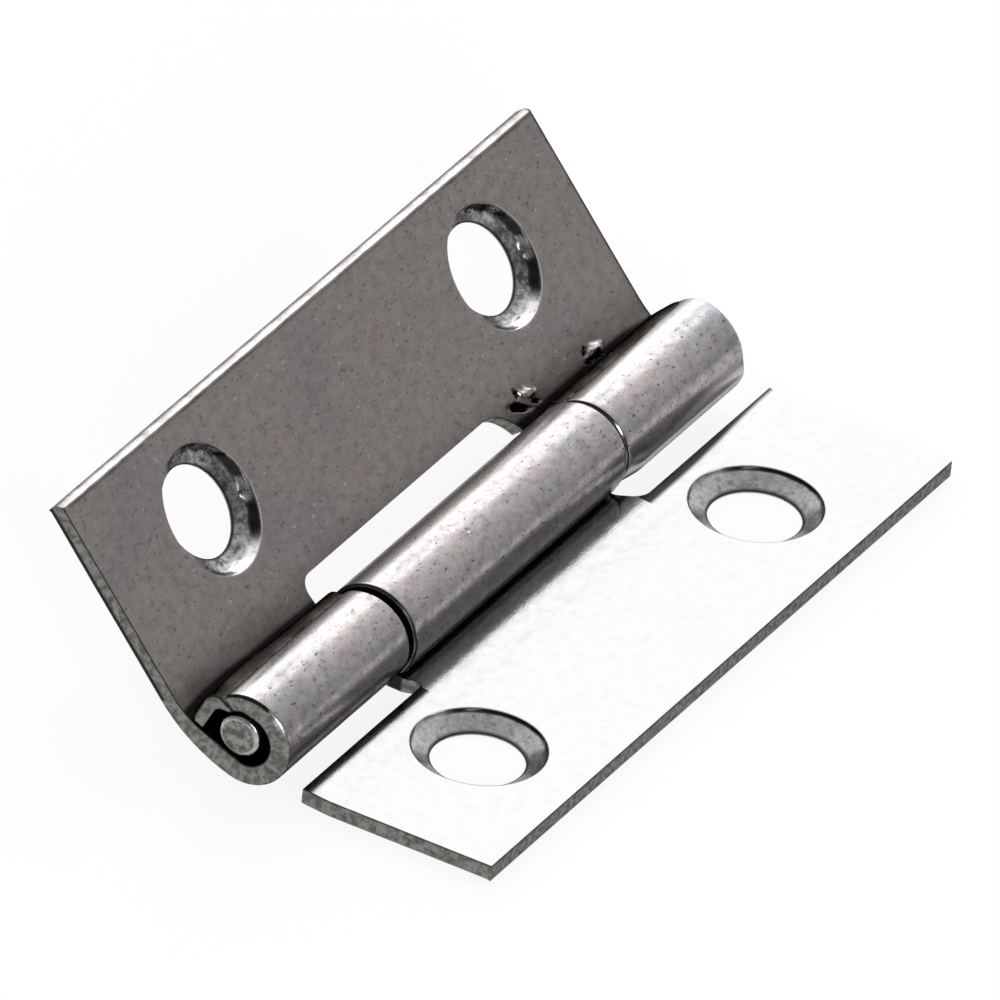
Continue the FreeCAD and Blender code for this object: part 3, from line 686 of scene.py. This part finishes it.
def raised_relief(section, p, y, share, marks):
    """The raised leaf's unevenness and its finish's marks, from soft noise, mounds, peaks and smooth steps.

    Each gouge is a torn lip with a painted highlight, and pits beside it that are painted black as shade. Each
    tail flares out past its crease, which is a groove with a crack of painted shade at the cut ends. At the near
    end the metal swells on the inside of the tight bend. The far knuckle bulges underneath, and its back stands
    out a little further along the pin than its front.
    """
    reach, turn = section.reach, raised_turn(section, p)
    cut, edge = marks["cut"], marks["edge"]
    outside, face, near, far = share < 0.5, share > 0.9, y > 0, y < -11.0
    waves = 0.008 * smooth_noise(p, y, 3.7, 7) + 0.0025 * smooth_noise(p, y, 0.9, 8)

    # the gouges beside the far knuckle, with a painted highlight on each lip and black painted shade in each pit
    inner, pit, lip = waves.copy(), np.zeros(len(p)), np.zeros(len(p))
    for raised, middle, slant, half_long, half_short in GOUGES:
        mark = blot(section, p, y, middle, slant, half_long, half_short)
        torn = np.clip(2.6 * mark, 0, 1)
        if raised:
            inner += 0.2 * mark
            lip = np.maximum(lip, 0.8 * torn)
        else:
            inner -= 0.25 * mark
            pit = np.maximum(pit, torn)
    lip *= (1 - pit) * (share > 0.5)
    pit *= share > 0.5

    # the near end's swell in its bend, painted glints on the rims, darker near edges, painted shade in the far
    # split
    inner -= 0.2 * ease(turn, 131.0, 150.0) * ease(y, 23.6, 25.0)
    swell = ease(y, 24.1, 25.0) * ease(turn, -137.0, -116.0) * ease(turn, 108.0, 80.0)
    inner += swell * (0.19 + 0.16 * peak(turn, -116.0, 22.0))
    glint = peak(turn, 43.0, 7.0)
    end = ease(y, 24.8, 25.0) * (edge > 0.1)
    near_end = end * ease(turn, 58, 66) * ease(turn, 126, 120)
    near_edge = (y > 24.9) * (p < reach - 3.6) * (share < 0.3) * (cut + edge > 0.1) * 0.9
    far_rim = (np.abs(y + 11.4) < 0.3) * (edge > 0.9)

    # the crease where each tail begins, the flare of the tail, and painted shade in the cracks, splits and seams
    tail = (p > section.at_angle(60)).astype(float)
    past = p - section.at_angle(CREASE) + 0.05 * along_pin(y, 1.7, 19)
    groove = peak(past, 0.0, 0.19) * tail * ease(y, -24.2, -22.4)
    flare = np.where(near, np.interp(y, *zip(*NEAR_FLARE)), 0.05 + 0.27 * ease(y, -24.4, -21.8))
    crack = np.clip(1.6 * peak(past + 0.5 * (share - 0.3), 0.0, 0.16), 0, 1) * cut * tail
    split = (p > reach - 2.2) * ((y > -11.4) & (y < 12.4)) * cut
    seam = 0.8 * ease(past, -0.12, 0.2) * ease(past, 1.02, 0.8) * tail * outside * (cut < 0.1)
    outer = waves - 0.14 * groove
    outer += 0.22 * ease(turn, 8.0, -16.0) * ease(turn, -60.0, -35.0) * ease(y, -11.3, -13.5)

    # painted shade in the crease, on the tail, under the rolls, along the far knuckle and on the inner face by the
    # knuckles, and a darker inner face along the far end's border and in a thin line inside the free edge
    wander = 5.4 * along_pin(y, 4.1, 26)
    underside = np.where(near, 0.3 + 0.6 * ease(turn, -10.0, -26.0), 0.9 * ease(turn, -25.0, -31.0))
    strip = np.where(near, 0.9 - 0.5 * ease(past, 0.8, 1.0), 0.92 - 0.25 * ease(past, 0.8, 1.1))
    grime_and_shade = underside * ease(turn, 8.0, -8.0) * ease(turn, -62.0, -40.0) + 0.85 * groove
    grime_and_shade += tail * (strip * ease(past, -0.1, 0.35) + 0.35 * ease(past, -0.75, -0.1) * (past < 0.2))
    grime_and_shade = outside * (grime_and_shade + 0.45 * peak(turn - 4.0, wander, 5.0) * far)
    border = ease(y, -24.45, -24.7) * face * (p < reach - 2.0)
    grime_and_shade += face * (0.55 * ease(p, reach - 5.6, reach - 2.7) + 0.9 * border)
    grime_and_shade += face * peak(p, 0.38, 0.07) * (0.75 + 0.35 * smooth_noise(p, y, 1.3, 24))

    # painted highlights on top of the rolls, in a band under the far knuckle, and along the free edge's bevel
    painted_shine = highlight_band(turn, share) * np.where(near, 0.35 + 0.6 * ease(y, 22.8, 24.6), 0.4)
    painted_shine += 0.7 * ease(turn, wander, wander - 6.0) * ease(turn, -26.0, -19.0) * far * outside
    free_edge = (p < 0.27) * (share > 0.3) * (np.abs(y - 0.25) < 24.9)
    ends = np.maximum(near_end, far_rim * (1 - glint)) + near_edge + seam + 0.9 * border
    return {
        "rise_out": outer,
        "rise_in": inner,
        "bend": flare * ease(past, 0.0, 0.75) * tail,
        "stretch": 0.38 * ease(past, 1.1, 2.0) * ease(y, 23.0, 25.0),
        "slide": -0.38 * peak(turn, 112.0, 42.0) * ease(y, -20.5, -23.9),
        "pit": pit,
        "grime_and_shade": np.clip(grime_and_shade, 0, 1),
        "rim": np.maximum(np.maximum(split, crack), ends),
        # where the line of painted shade beside the tail begins on the inner face
        "gap": reach - 2.36 - 0.95 * flare,
        "lip": np.maximum(lip, free_edge * (0.42 + 0.5 * along_pin(y, 0.7, 23))),
        "painted_shine": painted_shine,
        "dull": end * (1 - glint) * 0.9,
        # the glint on the rims is a painted highlight; elsewhere the rounded edges are a little burnished by wear
        "glint_and_wear": np.where((y > 24.5) | (np.abs(y + 11.4) < 0.4), glint, 0.15),
    }


# a nick: the angle round the roll, the place along the pin, half its width, half its length, its depth
NICKS = ((70.0, -3.6, 0.2, 0.22, 0.06), (50.0, 3.0, 0.16, 0.2, 0.05))
# the gouges' marks: a lip or a pit, the distance from the pin and the place along it, the slant in degrees and
# half the length and width
GOUGES = (
    (True, (3.66, -12.62), 24.0, 0.82, 0.4),
    (False, (3.95, -11.72), 0.0, 0.3, 0.26),
    (False, (3.26, -11.42), 26.0, 1.2, 0.34),
    (False, (2.98, -12.85), 20.0, 0.5, 0.17),
    (True, (3.08, -19.38), 6.0, 0.85, 0.4),
    (False, (3.28, -18.42), -30.0, 0.36, 0.24),
    (False, (2.74, -19.0), 12.0, 0.95, 0.15),
    (False, (2.72, -18.3), 10.0, 0.5, 0.27),
)
# where the raised leaf's rolls are creased, as an angle round the roll from the leaf
CREASE = 3.0
# places along the pin, and how far the near tail flares out there
NEAR_FLARE = ((12.2, 0.34), (15.0, 0.38), (18.5, 0.42), (20.5, 0.53), (23.0, 0.52), (24.4, 0.42), (25.3, 0.34))


def around(marks, half_p, half_y, step):
    """Extra points of a finer grid about each mark, so that its shape is carried by the mesh."""
    pieces = [
        lattice(np.arange(p - half_p, p + half_p, step), np.arange(y - half_y, y + half_y, step))
        for p, y in marks
    ]
    return np.concatenate(pieces) + 0.013


def along_rolls(section):
    """Rows of points that run along the raised leaf's two rolls, close together across the crease."""
    rows = section.at_angle(CREASE) + np.arange(-0.45, 1.35, 0.09)
    places = np.concatenate([np.arange(-23.7, -11.5, 0.22), np.arange(12.5, 25.05, 0.22)])
    return lattice(rows, places) + 0.007


# ---- finishes


class Nodes:
    """A short way to write a node tree. An input is a number, a colour, a node or a socket."""

    def __init__(self, tree, shader="Principled BSDF"):
        self.tree, self.shader = tree, tree.nodes[shader]

    def new(self, kind, inputs=None, **settings):
        node = self.tree.nodes.new(kind)
        for key, value in settings.items():
            setattr(node, key, value)
        self.set(node, inputs or {})
        return node

    def set(self, node, inputs):
        for key, value in inputs.items():
            if isinstance(value, bpy.types.NodeSocket):
                self.tree.links.new(value, node.inputs[key])
            elif isinstance(value, bpy.types.Node):
                self.tree.links.new(value.outputs[0], node.inputs[key])
            else:
                node.inputs[key].default_value = value

    def noise(self, coordinates, scale=1.0, detail=2.0, rough=0.5):
        inputs = {"Vector": coordinates, "Scale": scale, "Detail": detail, "Roughness": rough}
        return self.new("ShaderNodeTexNoise", inputs).outputs["Fac"]

    def stretch(self, where, across, along, shift=0.0):
        """Coordinates with so many units a millimetre in each direction, moved to another part of the noise."""
        scale = self.new("ShaderNodeVectorMath", {0: where, 1: (across, along, across)}, operation="MULTIPLY")
        return self.new("ShaderNodeVectorMath", {0: scale, 1: (shift, shift, shift)}, operation="ADD").outputs[0]

    def ramp(self, value, low, high, to_low=0.0, to_high=1.0):
        inputs = {"Value": value, "From Min": low, "From Max": high, "To Min": to_low, "To Max": to_high}
        return self.new("ShaderNodeMapRange", inputs, interpolation_type="SMOOTHSTEP").outputs["Result"]

    def math(self, operation, first, second=0.0, third=0.0):
        return self.new("ShaderNodeMath", {0: first, 1: second, 2: third}, operation=operation).outputs[0]

    def mix(self, factor, first, second, blend="MIX"):
        """The second colour over the first. A plain colour has three parts, like the properties."""
        first, second = (
            shade if isinstance(shade, bpy.types.NodeSocket) else (*shade, 1.0) for shade in (first, second)
        )
        inputs = {"Factor": factor, "A": first, "B": second}
        return self.new("ShaderNodeMix", inputs, data_type="RGBA", blend_type=blend).outputs["Result"]

    def attribute(self, name):
        return self.new("ShaderNodeAttribute", attribute_name=name).outputs["Fac"]

    def marked(self, name, unevenness):
        """A mark of the mesh, weakened here and there."""
        return self.math("MULTIPLY", self.attribute(name), unevenness)

    def bump(self, height, distance):
        return self.new("ShaderNodeBump", {"Height": height, "Strength": 1.0, "Distance": distance})


def new_material(name):
    material = bpy.data.materials.new(name)
    material.use_nodes = True
    return material, Nodes(material.node_tree)


def scaled(shade, factor):
    return tuple(factor * part for part in shade)


def grained(n, where, ground, finish, contrast):
    """The satin ground colour with clouds, a fine mottling, dark dashes and light rubbed dashes.

    The pattern's coordinates are millimetres on the flat sheet. A dash is a place where a noise that is
    stretched along the pin passes a threshold. Each layer has a noise, where it begins and where it is full, its
    amount, and a colour or the factors that tint the ground.
    """
    cloud = n.noise(n.stretch(where, 0.16, 0.11))
    tint = n.noise(n.stretch(where, 0.9, 0.6, 5.0))
    mottle = n.noise(n.stretch(where, 1.9, 1.2), 1.0, 3.0, 0.6)
    dashes = n.noise(n.stretch(where, 4.9, 1.9), 1.0, 1.0)
    specks = n.noise(n.stretch(where, 3.4, 2.6, 11.0), 1.0, 1.0)
    rubs = n.noise(n.stretch(where, 4.8, 1.7, 23.0), 1.0, 1.0)

    def tinted(*factors):
        return n.mix(1.0, ground, factors, "MULTIPLY")

    shade = ground
    for noise, low, high, amount, over in (
        (cloud, 0.36, 0.6, 1.0, tinted(1.1, 1.07, 1.04)),
        (cloud, 0.48, 0.32, 0.8, tinted(0.73, 0.77, 0.82)),
        (tint, 0.5, 0.64, 1.0, tinted(1.0, 0.95, 0.955)),
        (tint, 0.48, 0.36, 1.0, tinted(0.92, 0.96, 0.935)),
        (mottle, 0.5, 0.7, 0.6, tinted(0.6, 0.58, 0.57)),
        (mottle, 0.47, 0.32, 0.55, tinted(1.28, 1.28, 1.28)),
        (dashes, 0.635, 0.75, 0.8, finish.dark),
        (specks, 0.66, 0.765, 0.8, finish.dark),
        (rubs, 0.68, 0.79, 0.7, finish.light),
    ):
        share = n.ramp(noise, low, high, 0.0, amount)
        shade = n.mix(n.math("MULTIPLY", share, contrast) if contrast else share, shade, over)
    return shade, mottle


def sheet_finish(name, finish, face, face_contrast, cone_shade, cone_contrast, face_rough):
    """Satin sheet steel with its grime, painted shade and highlights, dull sheared edges, turned cones and black
    painted shade inside.

    The inner face has a colour of its own, and the metal on the rolled outer skin is the plain satin steel.
    """
    material, n = new_material(name)
    inner, cut = n.attribute("inner"), n.attribute("cut")
    place = {"X": n.attribute("across"), "Y": n.attribute("along"), "Z": n.attribute("deep")}
    where = n.new("ShaderNodeCombineXYZ", place)
    ground = n.mix(inner, finish.steel, face)
    contrast = n.math("MULTIPLY_ADD", inner, face_contrast - 1.0, 1.0)
    shade, mottle = grained(n, where, ground, finish, contrast)

    # painted highlights on top of the rolls and in a band under the far knuckle
    shade = n.mix(n.attribute("painted_shine"), shade, finish.highlight_and_burnish)
    uneven = n.ramp(n.noise(n.stretch(where, 0.9, 0.5, 7.0), 1.0, 3.0), 0.3, 0.68, 0.7, 1.1)
    # grime, and painted shade under the rolls, in the creases, on the tails and beside the knuckles
    shade = n.mix(n.marked("grime_and_shade", uneven), shade, finish.dark)
    # painted shade: a dark line on the face beside the rolls
    gap = n.math("MULTIPLY", n.ramp(n.attribute("gap"), -0.26, 0.06), inner)
    shade = n.mix(gap, shade, finish.burr_and_shade)

    torn = n.noise(n.stretch(where, 2.9, 2.9, 3.0), 1.0, 3.0, 0.6)
    edge = n.mix(n.ramp(torn, 0.36, 0.64), scaled(finish.cut, 0.6), scaled(finish.cut, 1.3))
    shade = n.mix(n.ramp(cut, 0.1, 0.9), shade, edge)
    # painted glints on the rims, and a little burnish from wear on the other rounded edges
    shade = n.mix(n.marked("edge", n.ramp(torn, 0.3, 0.6, 0.5, 1.0)), shade, finish.highlight_and_burnish)

    chatter = n.noise(n.stretch(where, 3.1, 3.1, 5.0), 1.0, 3.0, 0.65)
    spots = n.noise(n.stretch(where, 1.7, 1.7, 15.0))
    turned = [scaled(finish.bright, part * cone_shade) for part in (1 - 0.55 * cone_contrast, 1)]
    metal = n.mix(n.ramp(chatter, 0.38, 0.62), *turned)
    metal = n.mix(n.ramp(spots, 0.56, 0.68, 0.0, 0.85 * cone_contrast), metal, finish.dark)
    metal = n.mix(n.ramp(spots, 0.42, 0.3, 0.0, 0.7 * cone_contrast), metal, finish.bright)
    shade = n.mix(n.ramp(n.attribute("cone"), 0.35, 0.9), shade, metal)
    # painted highlights: the gouges' lips, the free edge's bevel and the bright arcs of the countersinks
    shade = n.mix(n.marked("lip", n.ramp(chatter, 0.36, 0.5, 0.55, 1.0)), shade, finish.highlight_and_burnish)
    # dark burr along the cut edges, and painted shade in the splits, cracks, seams and on the countersinks' shaded
    # arcs
    shade = n.mix(n.ramp(n.attribute("rim"), 0.1, 1.0), shade, finish.burr_and_shade)
    # black painted shade in the gouges' pits and inside the rolls
    for black in ("pit", "bore"):
        shade = n.mix(n.attribute(black), shade, finish.inside)

    rough = n.math("MULTIPLY_ADD", inner, face_rough - finish.roughness, finish.roughness)
    rough = n.math("ADD", n.ramp(mottle, 0.3, 0.7, -0.03, 0.05), rough)
    fine = n.noise(n.stretch(where, 9.0, 4.0, 2.0))
    rugged = n.math("MULTIPLY", torn, n.math("MULTIPLY", cut, 3.0))
    height = n.math("ADD", n.math("MULTIPLY", fine, 0.4), rugged)
    surface = {
        "Base Color": shade,
        "Metallic": 1.0,
        "Specular Tint": n.mix(n.attribute("grime_and_shade"), (finish.glance,) * 3, (0.02,) * 3),
        "Roughness": n.math("ADD", rough, n.math("MULTIPLY", cut, 0.22)),
        "Normal": n.bump(height, 0.000014),
    }
    n.set(n.shader, surface)
    return material


def wire_finish(name, finish):
    """The pin's wire: dull sheared ends inside an uneven rim with a painted highlight."""
    material, n = new_material(name)
    place = n.new("ShaderNodeTexCoord").outputs["Object"]
    where = n.new("ShaderNodeVectorMath", {0: place, 3: 1 / MM}, operation="SCALE").outputs[0]
    steel = n.new("ShaderNodeRGB").outputs[0]
    steel.default_value = (*finish.steel, 1.0)
    shade, mottle = grained(n, where, steel, finish, None)
    torn = n.noise(where, 2.4, 3.0, 0.6)
    # painted highlight on the rims of the pin's ends
    shade = n.mix(n.marked("rim", n.ramp(torn, 0.36, 0.6, 0.2, 0.9)), shade, finish.bright)
    end = n.mix(n.ramp(torn, 0.38, 0.62), scaled(finish.cut, 0.5), scaled(finish.cut, 1.3))
    surface = {
        "Base Color": n.mix(n.attribute("end"), shade, end),
        "Metallic": 1.0,
        "Roughness": n.ramp(mottle, 0.3, 0.7, finish.roughness, finish.roughness + 0.1),
        "Normal": n.bump(torn, 0.00004),
    }
    n.set(n.shader, surface)
    return material


def ride_and_replace(piece, body, node):
    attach(piece, body)
    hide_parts(node)


def link(thing):
    bpy.context.scene.collection.objects.link(thing)
    return thing


class HINGE_OT_make_fixed_leaf(bpy.types.Operator):
    """Makes the leaf that lies flat, with the middle knuckle"""

    bl_idname = "hinge.make_fixed_leaf"
    bl_label = "Make the Fixed Leaf"

    def execute(self, context):
        sizes, finish = context.scene.hinge_sizes, context.scene.hinge_finish
        section = Section(sizes, "fixed")
        outline = walk(fixed_outline(section, mm(sizes.leaf_length) / 2), mm(sizes.outline_step))
        extra = around([(section.at_angle(nick[0]), nick[1]) for nick in NICKS], 0.35, 0.35, 0.05)
        # each hole has an arc of painted highlight and an arc of painted shade
        holes = [
            Hole(
                centre, sizes.hole_radius / MM, sizes.sink_radius / MM, bore_shift=(0.0, 0.0),
                mouth_shift=(0.0, 0.0), wall=0.15, bright=(24.0, 5.0), shaded_arc=(80.0, 40.0),
            )
            for centre in hole_centres(sizes, section, "fixed", 0.0)
        ]
        rounds = rounding(outline, section, sizes)
        leaf = Leaf(sizes, section, outline, rounds, holes, sizes.face_break / MM, extra)
        mesh = leaf.build("fixed_sheet", fixed_relief, Matrix.Translation(pin_line(sizes)))
        # the fixed leaf's cones are a lighter copy of the turned metal: painted light
        steel = sheet_finish(
            "fixed_steel", finish, finish.flat,
            face_contrast=0.05, cone_shade=1.1, cone_contrast=0.45, face_rough=0.14,
        )
        mesh.materials.append(steel)
        piece = link(bpy.data.objects.new("fixed_sheet", mesh))
        ride_and_replace(piece, "fixed", "fixed_leaf")
        return {"FINISHED"}


class HINGE_OT_make_raised_leaf(bpy.types.Operator):
    """Makes the leaf that stands up, with the near and far knuckles"""

    bl_idname = "hinge.make_raised_leaf"
    bl_label = "Make the Raised Leaf"

    def execute(self, context):
        """Makes the leaf as if it lay flat and turns it up. Its near end is rounder where the glint on its rim is
        painted.
        """
        sizes, finish = context.scene.hinge_sizes, context.scene.hinge_finish
        section = Section(sizes, "raised")
        outline = walk(raised_outline(section, mm(sizes.leaf_length) / 2), mm(sizes.outline_step))
        gouged = around([(section.reach - 3.4, -12.0), (section.reach - 2.9, -18.95)], 0.8, 1.5, 0.07)
        border = lattice([0.31, 0.37, 0.44], np.arange(-24.5, 25.0, 0.25))
        # each hole has an arc of painted highlight and an arc of painted shade
        holes = [
            Hole(
                centre, sizes.hole_radius / MM + 0.06, mouth, bore_shift=(-0.13, 0.15), mouth_shift=(0.1, 0.0),
                wall=0.34, bright=(-7.0, 25.0), shaded_arc=(-84.0, 41.0),
            )
            for centre, mouth in zip(hole_centres(sizes, section, "raised", -0.35), (3.62, 3.75))
        ]
        # the near end's rim is rounder where its glint is painted
        highlight_and_burnish = peak(raised_turn(section, outline[:, 0]), 43.0, 9.0) * (outline[:, 1] > 24.9)
        rounds = rounding(outline, section, sizes) + 0.13 * highlight_and_burnish
        extra = np.concatenate([gouged, along_rolls(section), border])
        leaf = Leaf(sizes, section, outline, rounds, holes, mm(sizes.free_bevel), extra)
        lift = Matrix.Rotation(math.pi - sizes.leaf_angle, 4, "Y") @ Matrix.Rotation(math.pi, 4, "Z")
        mesh = leaf.build("raised_sheet", raised_relief, Matrix.Translation(pin_line(sizes)) @ lift)
        # the raised leaf's face and cones are darker copies of the steel: painted shade
        steel = sheet_finish(
            "raised_steel", finish, finish.shaded_steel,
            face_contrast=0.6, cone_shade=0.8, cone_contrast=1.0, face_rough=finish.roughness,
        )
        mesh.materials.append(steel)
        piece = link(bpy.data.objects.new("raised_sheet", mesh))
        ride_and_replace(piece, "raised", "raised_leaf")
        return {"FINISHED"}


# the pin's sheared end, for a wire of radius WIRE: the radius and the depth below the end. Its face is dull as far
# as the first radius of PIN_RIM, and a rim with a painted highlight follows as far as the second.
WIRE = 1.25
PIN_END = ((0.0, 0.0), (0.3, 0.0), (0.6, 0.01), (0.87, 0.02), (0.94, 0.03), (1.02, 0.05), (1.12, 0.09),
           (1.2, 0.14), (1.238, 0.2), (1.25, 0.3))
PIN_RIM = (1.0, 1.22)


class HINGE_OT_make_pin(bpy.types.Operator):
    """Makes the wire pin with its two sheared ends"""

    bl_idname = "hinge.make_pin"
    bl_label = "Make the Pin"

    def execute(self, context):
        """Turns a profile about the pin's line. The ends are uneven: their rims waver and their faces are wavy."""
        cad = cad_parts["hinge_pin"]
        corners = np.array([cad.matrix_world @ Vector(corner) for corner in cad.bound_box]) / MM
        low, high = corners.min(0), corners.max(0)
        radius, middle, turns = (high[0] - low[0]) / 2, (low + high) / 2, 96
        profile = [(r * radius / WIRE, low[1] + depth) for r, depth in PIN_END]
        profile += [(radius, place) for place in np.arange(low[1] + 1.0, high[1] - 0.9, 1.0)]
        profile += [(r * radius / WIRE, high[1] - depth) for r, depth in reversed(PIN_END)]
        profile = np.array(profile[1:-1])
        r, place = (np.repeat(profile[:, k][:, None], turns, 1) for k in (0, 1))
        turn = np.repeat((np.arange(turns) * 2 * math.pi / turns)[None, :], len(profile), 0)
        near_end = np.exp(-(np.minimum(place - low[1], high[1] - place) / 0.3))
        waver = smooth_noise(turn * 2.2, place * 0.02, 1.0, 31)
        r = r * (1 - near_end * 0.015 * (1 + waver) * (r > 0.8))
        x, z = r * np.cos(turn), r * np.sin(turn)
        place = place + 0.02 * near_end * smooth_noise(x, z, 0.5, 33) * np.sign(middle[1] - place)
        points = np.stack([middle[0] + x, place, middle[2] + z], -1).reshape(-1, 3)
        poles = [[middle[0], low[1], middle[2]], [middle[0], high[1], middle[2]]]
        rings = np.arange(len(points)).reshape(-1, turns)
        caps = [
            np.stack([np.full(turns, len(points)), rings[0], np.roll(rings[0], -1)], 1),
            np.stack([np.full(turns, len(points) + 1), np.roll(rings[-1], -1), rings[-1]], 1),
        ]
        shape = np.append(np.repeat(profile[:, 0] / radius * WIRE, turns), (0.0, 0.0))
        marks = {"end": shape < PIN_RIM[0], "rim": (shape >= PIN_RIM[0]) & (shape < PIN_RIM[1])}
        mesh = make_mesh("pin_wire", np.concatenate([points, poles]), strips(rings) + caps, marks, 50)
        mesh.materials.append(wire_finish("wire_steel", context.scene.hinge_finish))
        piece = link(bpy.data.objects.new("pin_wire", mesh))
        ride_and_replace(piece, "raised", "hinge_pin")
        return {"FINISHED"}


# ---- the stage


def aim(thing, place, target, roll=0.0):
    """Puts a lamp or camera at a place and points it at the target, turned about its own line by roll radians."""
    toward = Vector(target) - Vector(place)
    thing.rotation_mode = "QUATERNION"
    turned = toward.to_track_quat("-Z", "Y").to_matrix() @ Matrix.Rotation(roll, 3, "Z")
    thing.rotation_quaternion = turned.to_quaternion()
    thing.location = place


def direction(azimuth, elevation):
    """The unit vector towards a viewer at an azimuth and elevation in degrees."""
    a, e = math.radians(azimuth), math.radians(elevation)
    return Vector((math.sin(a) * math.cos(e), -math.cos(a) * math.cos(e), math.sin(e)))


def soft_lamp(name, towards, distance, size, radiance, target):
    """A square lamp whose face shines with the given radiance, seen from the target."""
    lamp = bpy.data.lights.new(name, "AREA")
    lamp.shape = "SQUARE"
    lamp.size = size
    lamp.energy = radiance * math.pi * size * size
    thing = link(bpy.data.objects.new(name, lamp))
    aim(thing, Vector(target) + towards.normalized() * distance, target)
    thing.visible_camera = False


KEY_DIRECTION = (-0.424, 0.7515, 0.505)
ROOM_LIGHT = 0.25
# each step of the glow: the cosine of the angle from the key where it begins and ends, and what it adds
GLOW = ((0.0, 0.74, 0.6), (0.68, 0.93, 0.5), (0.915, 0.96, 1.5))


class HINGE_OT_set_stage(bpy.types.Operator):
    """Makes the floor, the lamps, the room's light and the camera"""

    bl_idname = "hinge.set_stage"
    bl_label = "Set the Stage"

    def floor(self, studio):
        """A wide pale sheet just under the hinge, which keeps the hinge's shadow."""
        mesh = bpy.data.meshes.new("floor")
        half = 3.0
        corners = [(-half, -half, 0), (half, -half, 0), (half, half, 0), (-half, half, 0)]
        mesh.from_pydata(corners, [], [(0, 1, 2, 3)])
        floor = link(bpy.data.objects.new("floor", mesh))
        floor.location = (0, 0, -0.00005)
        paper, n = new_material("floor_paper")
        rays = n.new("ShaderNodeLightPath").outputs
        seen = rays["Is Camera Ray"]
        for other in ("Is Glossy Ray", "Is Transmission Ray"):
            seen = n.math("MAXIMUM", seen, rays[other])
        surface = {
            "Base Color": (*studio.floor, 1),
            "Roughness": 0.9,
            "Specular IOR Level": 0.1,
            "Emission Color": (1, 1, 1, 1),
            "Emission Strength": n.math("MULTIPLY", seen, studio.floor_glow),
        }
        n.set(n.shader, surface)
        mesh.materials.append(paper)

    def room(self, studio, scene):
        """A dim room that brightens softly towards one large window."""
        world = bpy.data.worlds.new("room")
        world.use_nodes = True
        n = Nodes(world.node_tree, "Background")
        angles = {0: n.new("ShaderNodeTexCoord").outputs["Generated"], 1: Vector(KEY_DIRECTION).normalized()}
        facing = n.new("ShaderNodeVectorMath", angles, operation="DOT_PRODUCT").outputs["Value"]
        total = ROOM_LIGHT
        for low, high, amount in GLOW:
            total = n.math("ADD", n.ramp(facing, low, high, 0.0, amount), total)
        n.set(n.shader, {"Strength": total, "Color": (*studio.room, 1)})
        scene.world = world

    def camera(self, studio, scene):
        lens = bpy.data.cameras.new("camera")
        lens.sensor_width = 36.0
        lens.lens = lens.sensor_width * studio.distance / studio.width
        lens.clip_start, lens.clip_end = 0.01, 10.0
        camera = link(bpy.data.objects.new("camera", lens))
        target = Vector(studio.target)
        aim(camera, target + direction(studio.azimuth, studio.elevation) * studio.distance, target,
            math.radians(studio.roll))
        scene.camera = camera

    def execute(self, context):
        studio = context.scene.hinge_studio
        self.floor(studio)
        self.room(studio, context.scene)
        towards = Vector((0.63, -0.647, 0.43))
        soft_lamp("front_glint", towards, distance=1.5, size=0.55, radiance=9.0, target=Vector(studio.target))
        self.camera(studio, context.scene)
        context.scene.view_settings.view_transform = "Standard"
        return {"FINISHED"}


class HINGE_PT_panel(bpy.types.Panel):
    """Lists the sizes, the finish, the studio and the steps that make the hinge"""

    bl_label = "Rolled Steel Hinge"
    bl_idname = "HINGE_PT_panel"
    bl_space_type = "VIEW_3D"
    bl_region_type = "UI"
    bl_category = "Hinge"

    def draw(self, context):
        layout = self.layout
        for group in (context.scene.hinge_sizes, context.scene.hinge_finish, context.scene.hinge_studio):
            for name in group.__annotations__:
                layout.prop(group, name)
        for step in STEPS:
            layout.operator(step.bl_idname)


STEPS = (HINGE_OT_make_fixed_leaf, HINGE_OT_make_raised_leaf, HINGE_OT_make_pin, HINGE_OT_set_stage)
CLASSES = (HingeSizes, HingeFinish, HingeStudio, *STEPS, HINGE_PT_panel)


def register():
    for item in CLASSES:
        bpy.utils.register_class(item)
    bpy.types.Scene.hinge_sizes = PointerProperty(type=HingeSizes)
    bpy.types.Scene.hinge_finish = PointerProperty(type=HingeFinish)
    bpy.types.Scene.hinge_studio = PointerProperty(type=HingeStudio)


def unregister():
    for name in ("hinge_studio", "hinge_finish", "hinge_sizes"):
        delattr(bpy.types.Scene, name)
    for item in reversed(CLASSES):
        bpy.utils.unregister_class(item)


def main():
    register()
    bpy.ops.hinge.make_fixed_leaf()
    bpy.ops.hinge.make_raised_leaf()
    bpy.ops.hinge.make_pin()
    bpy.ops.hinge.set_stage()


if __name__ == "__main__":
    main()
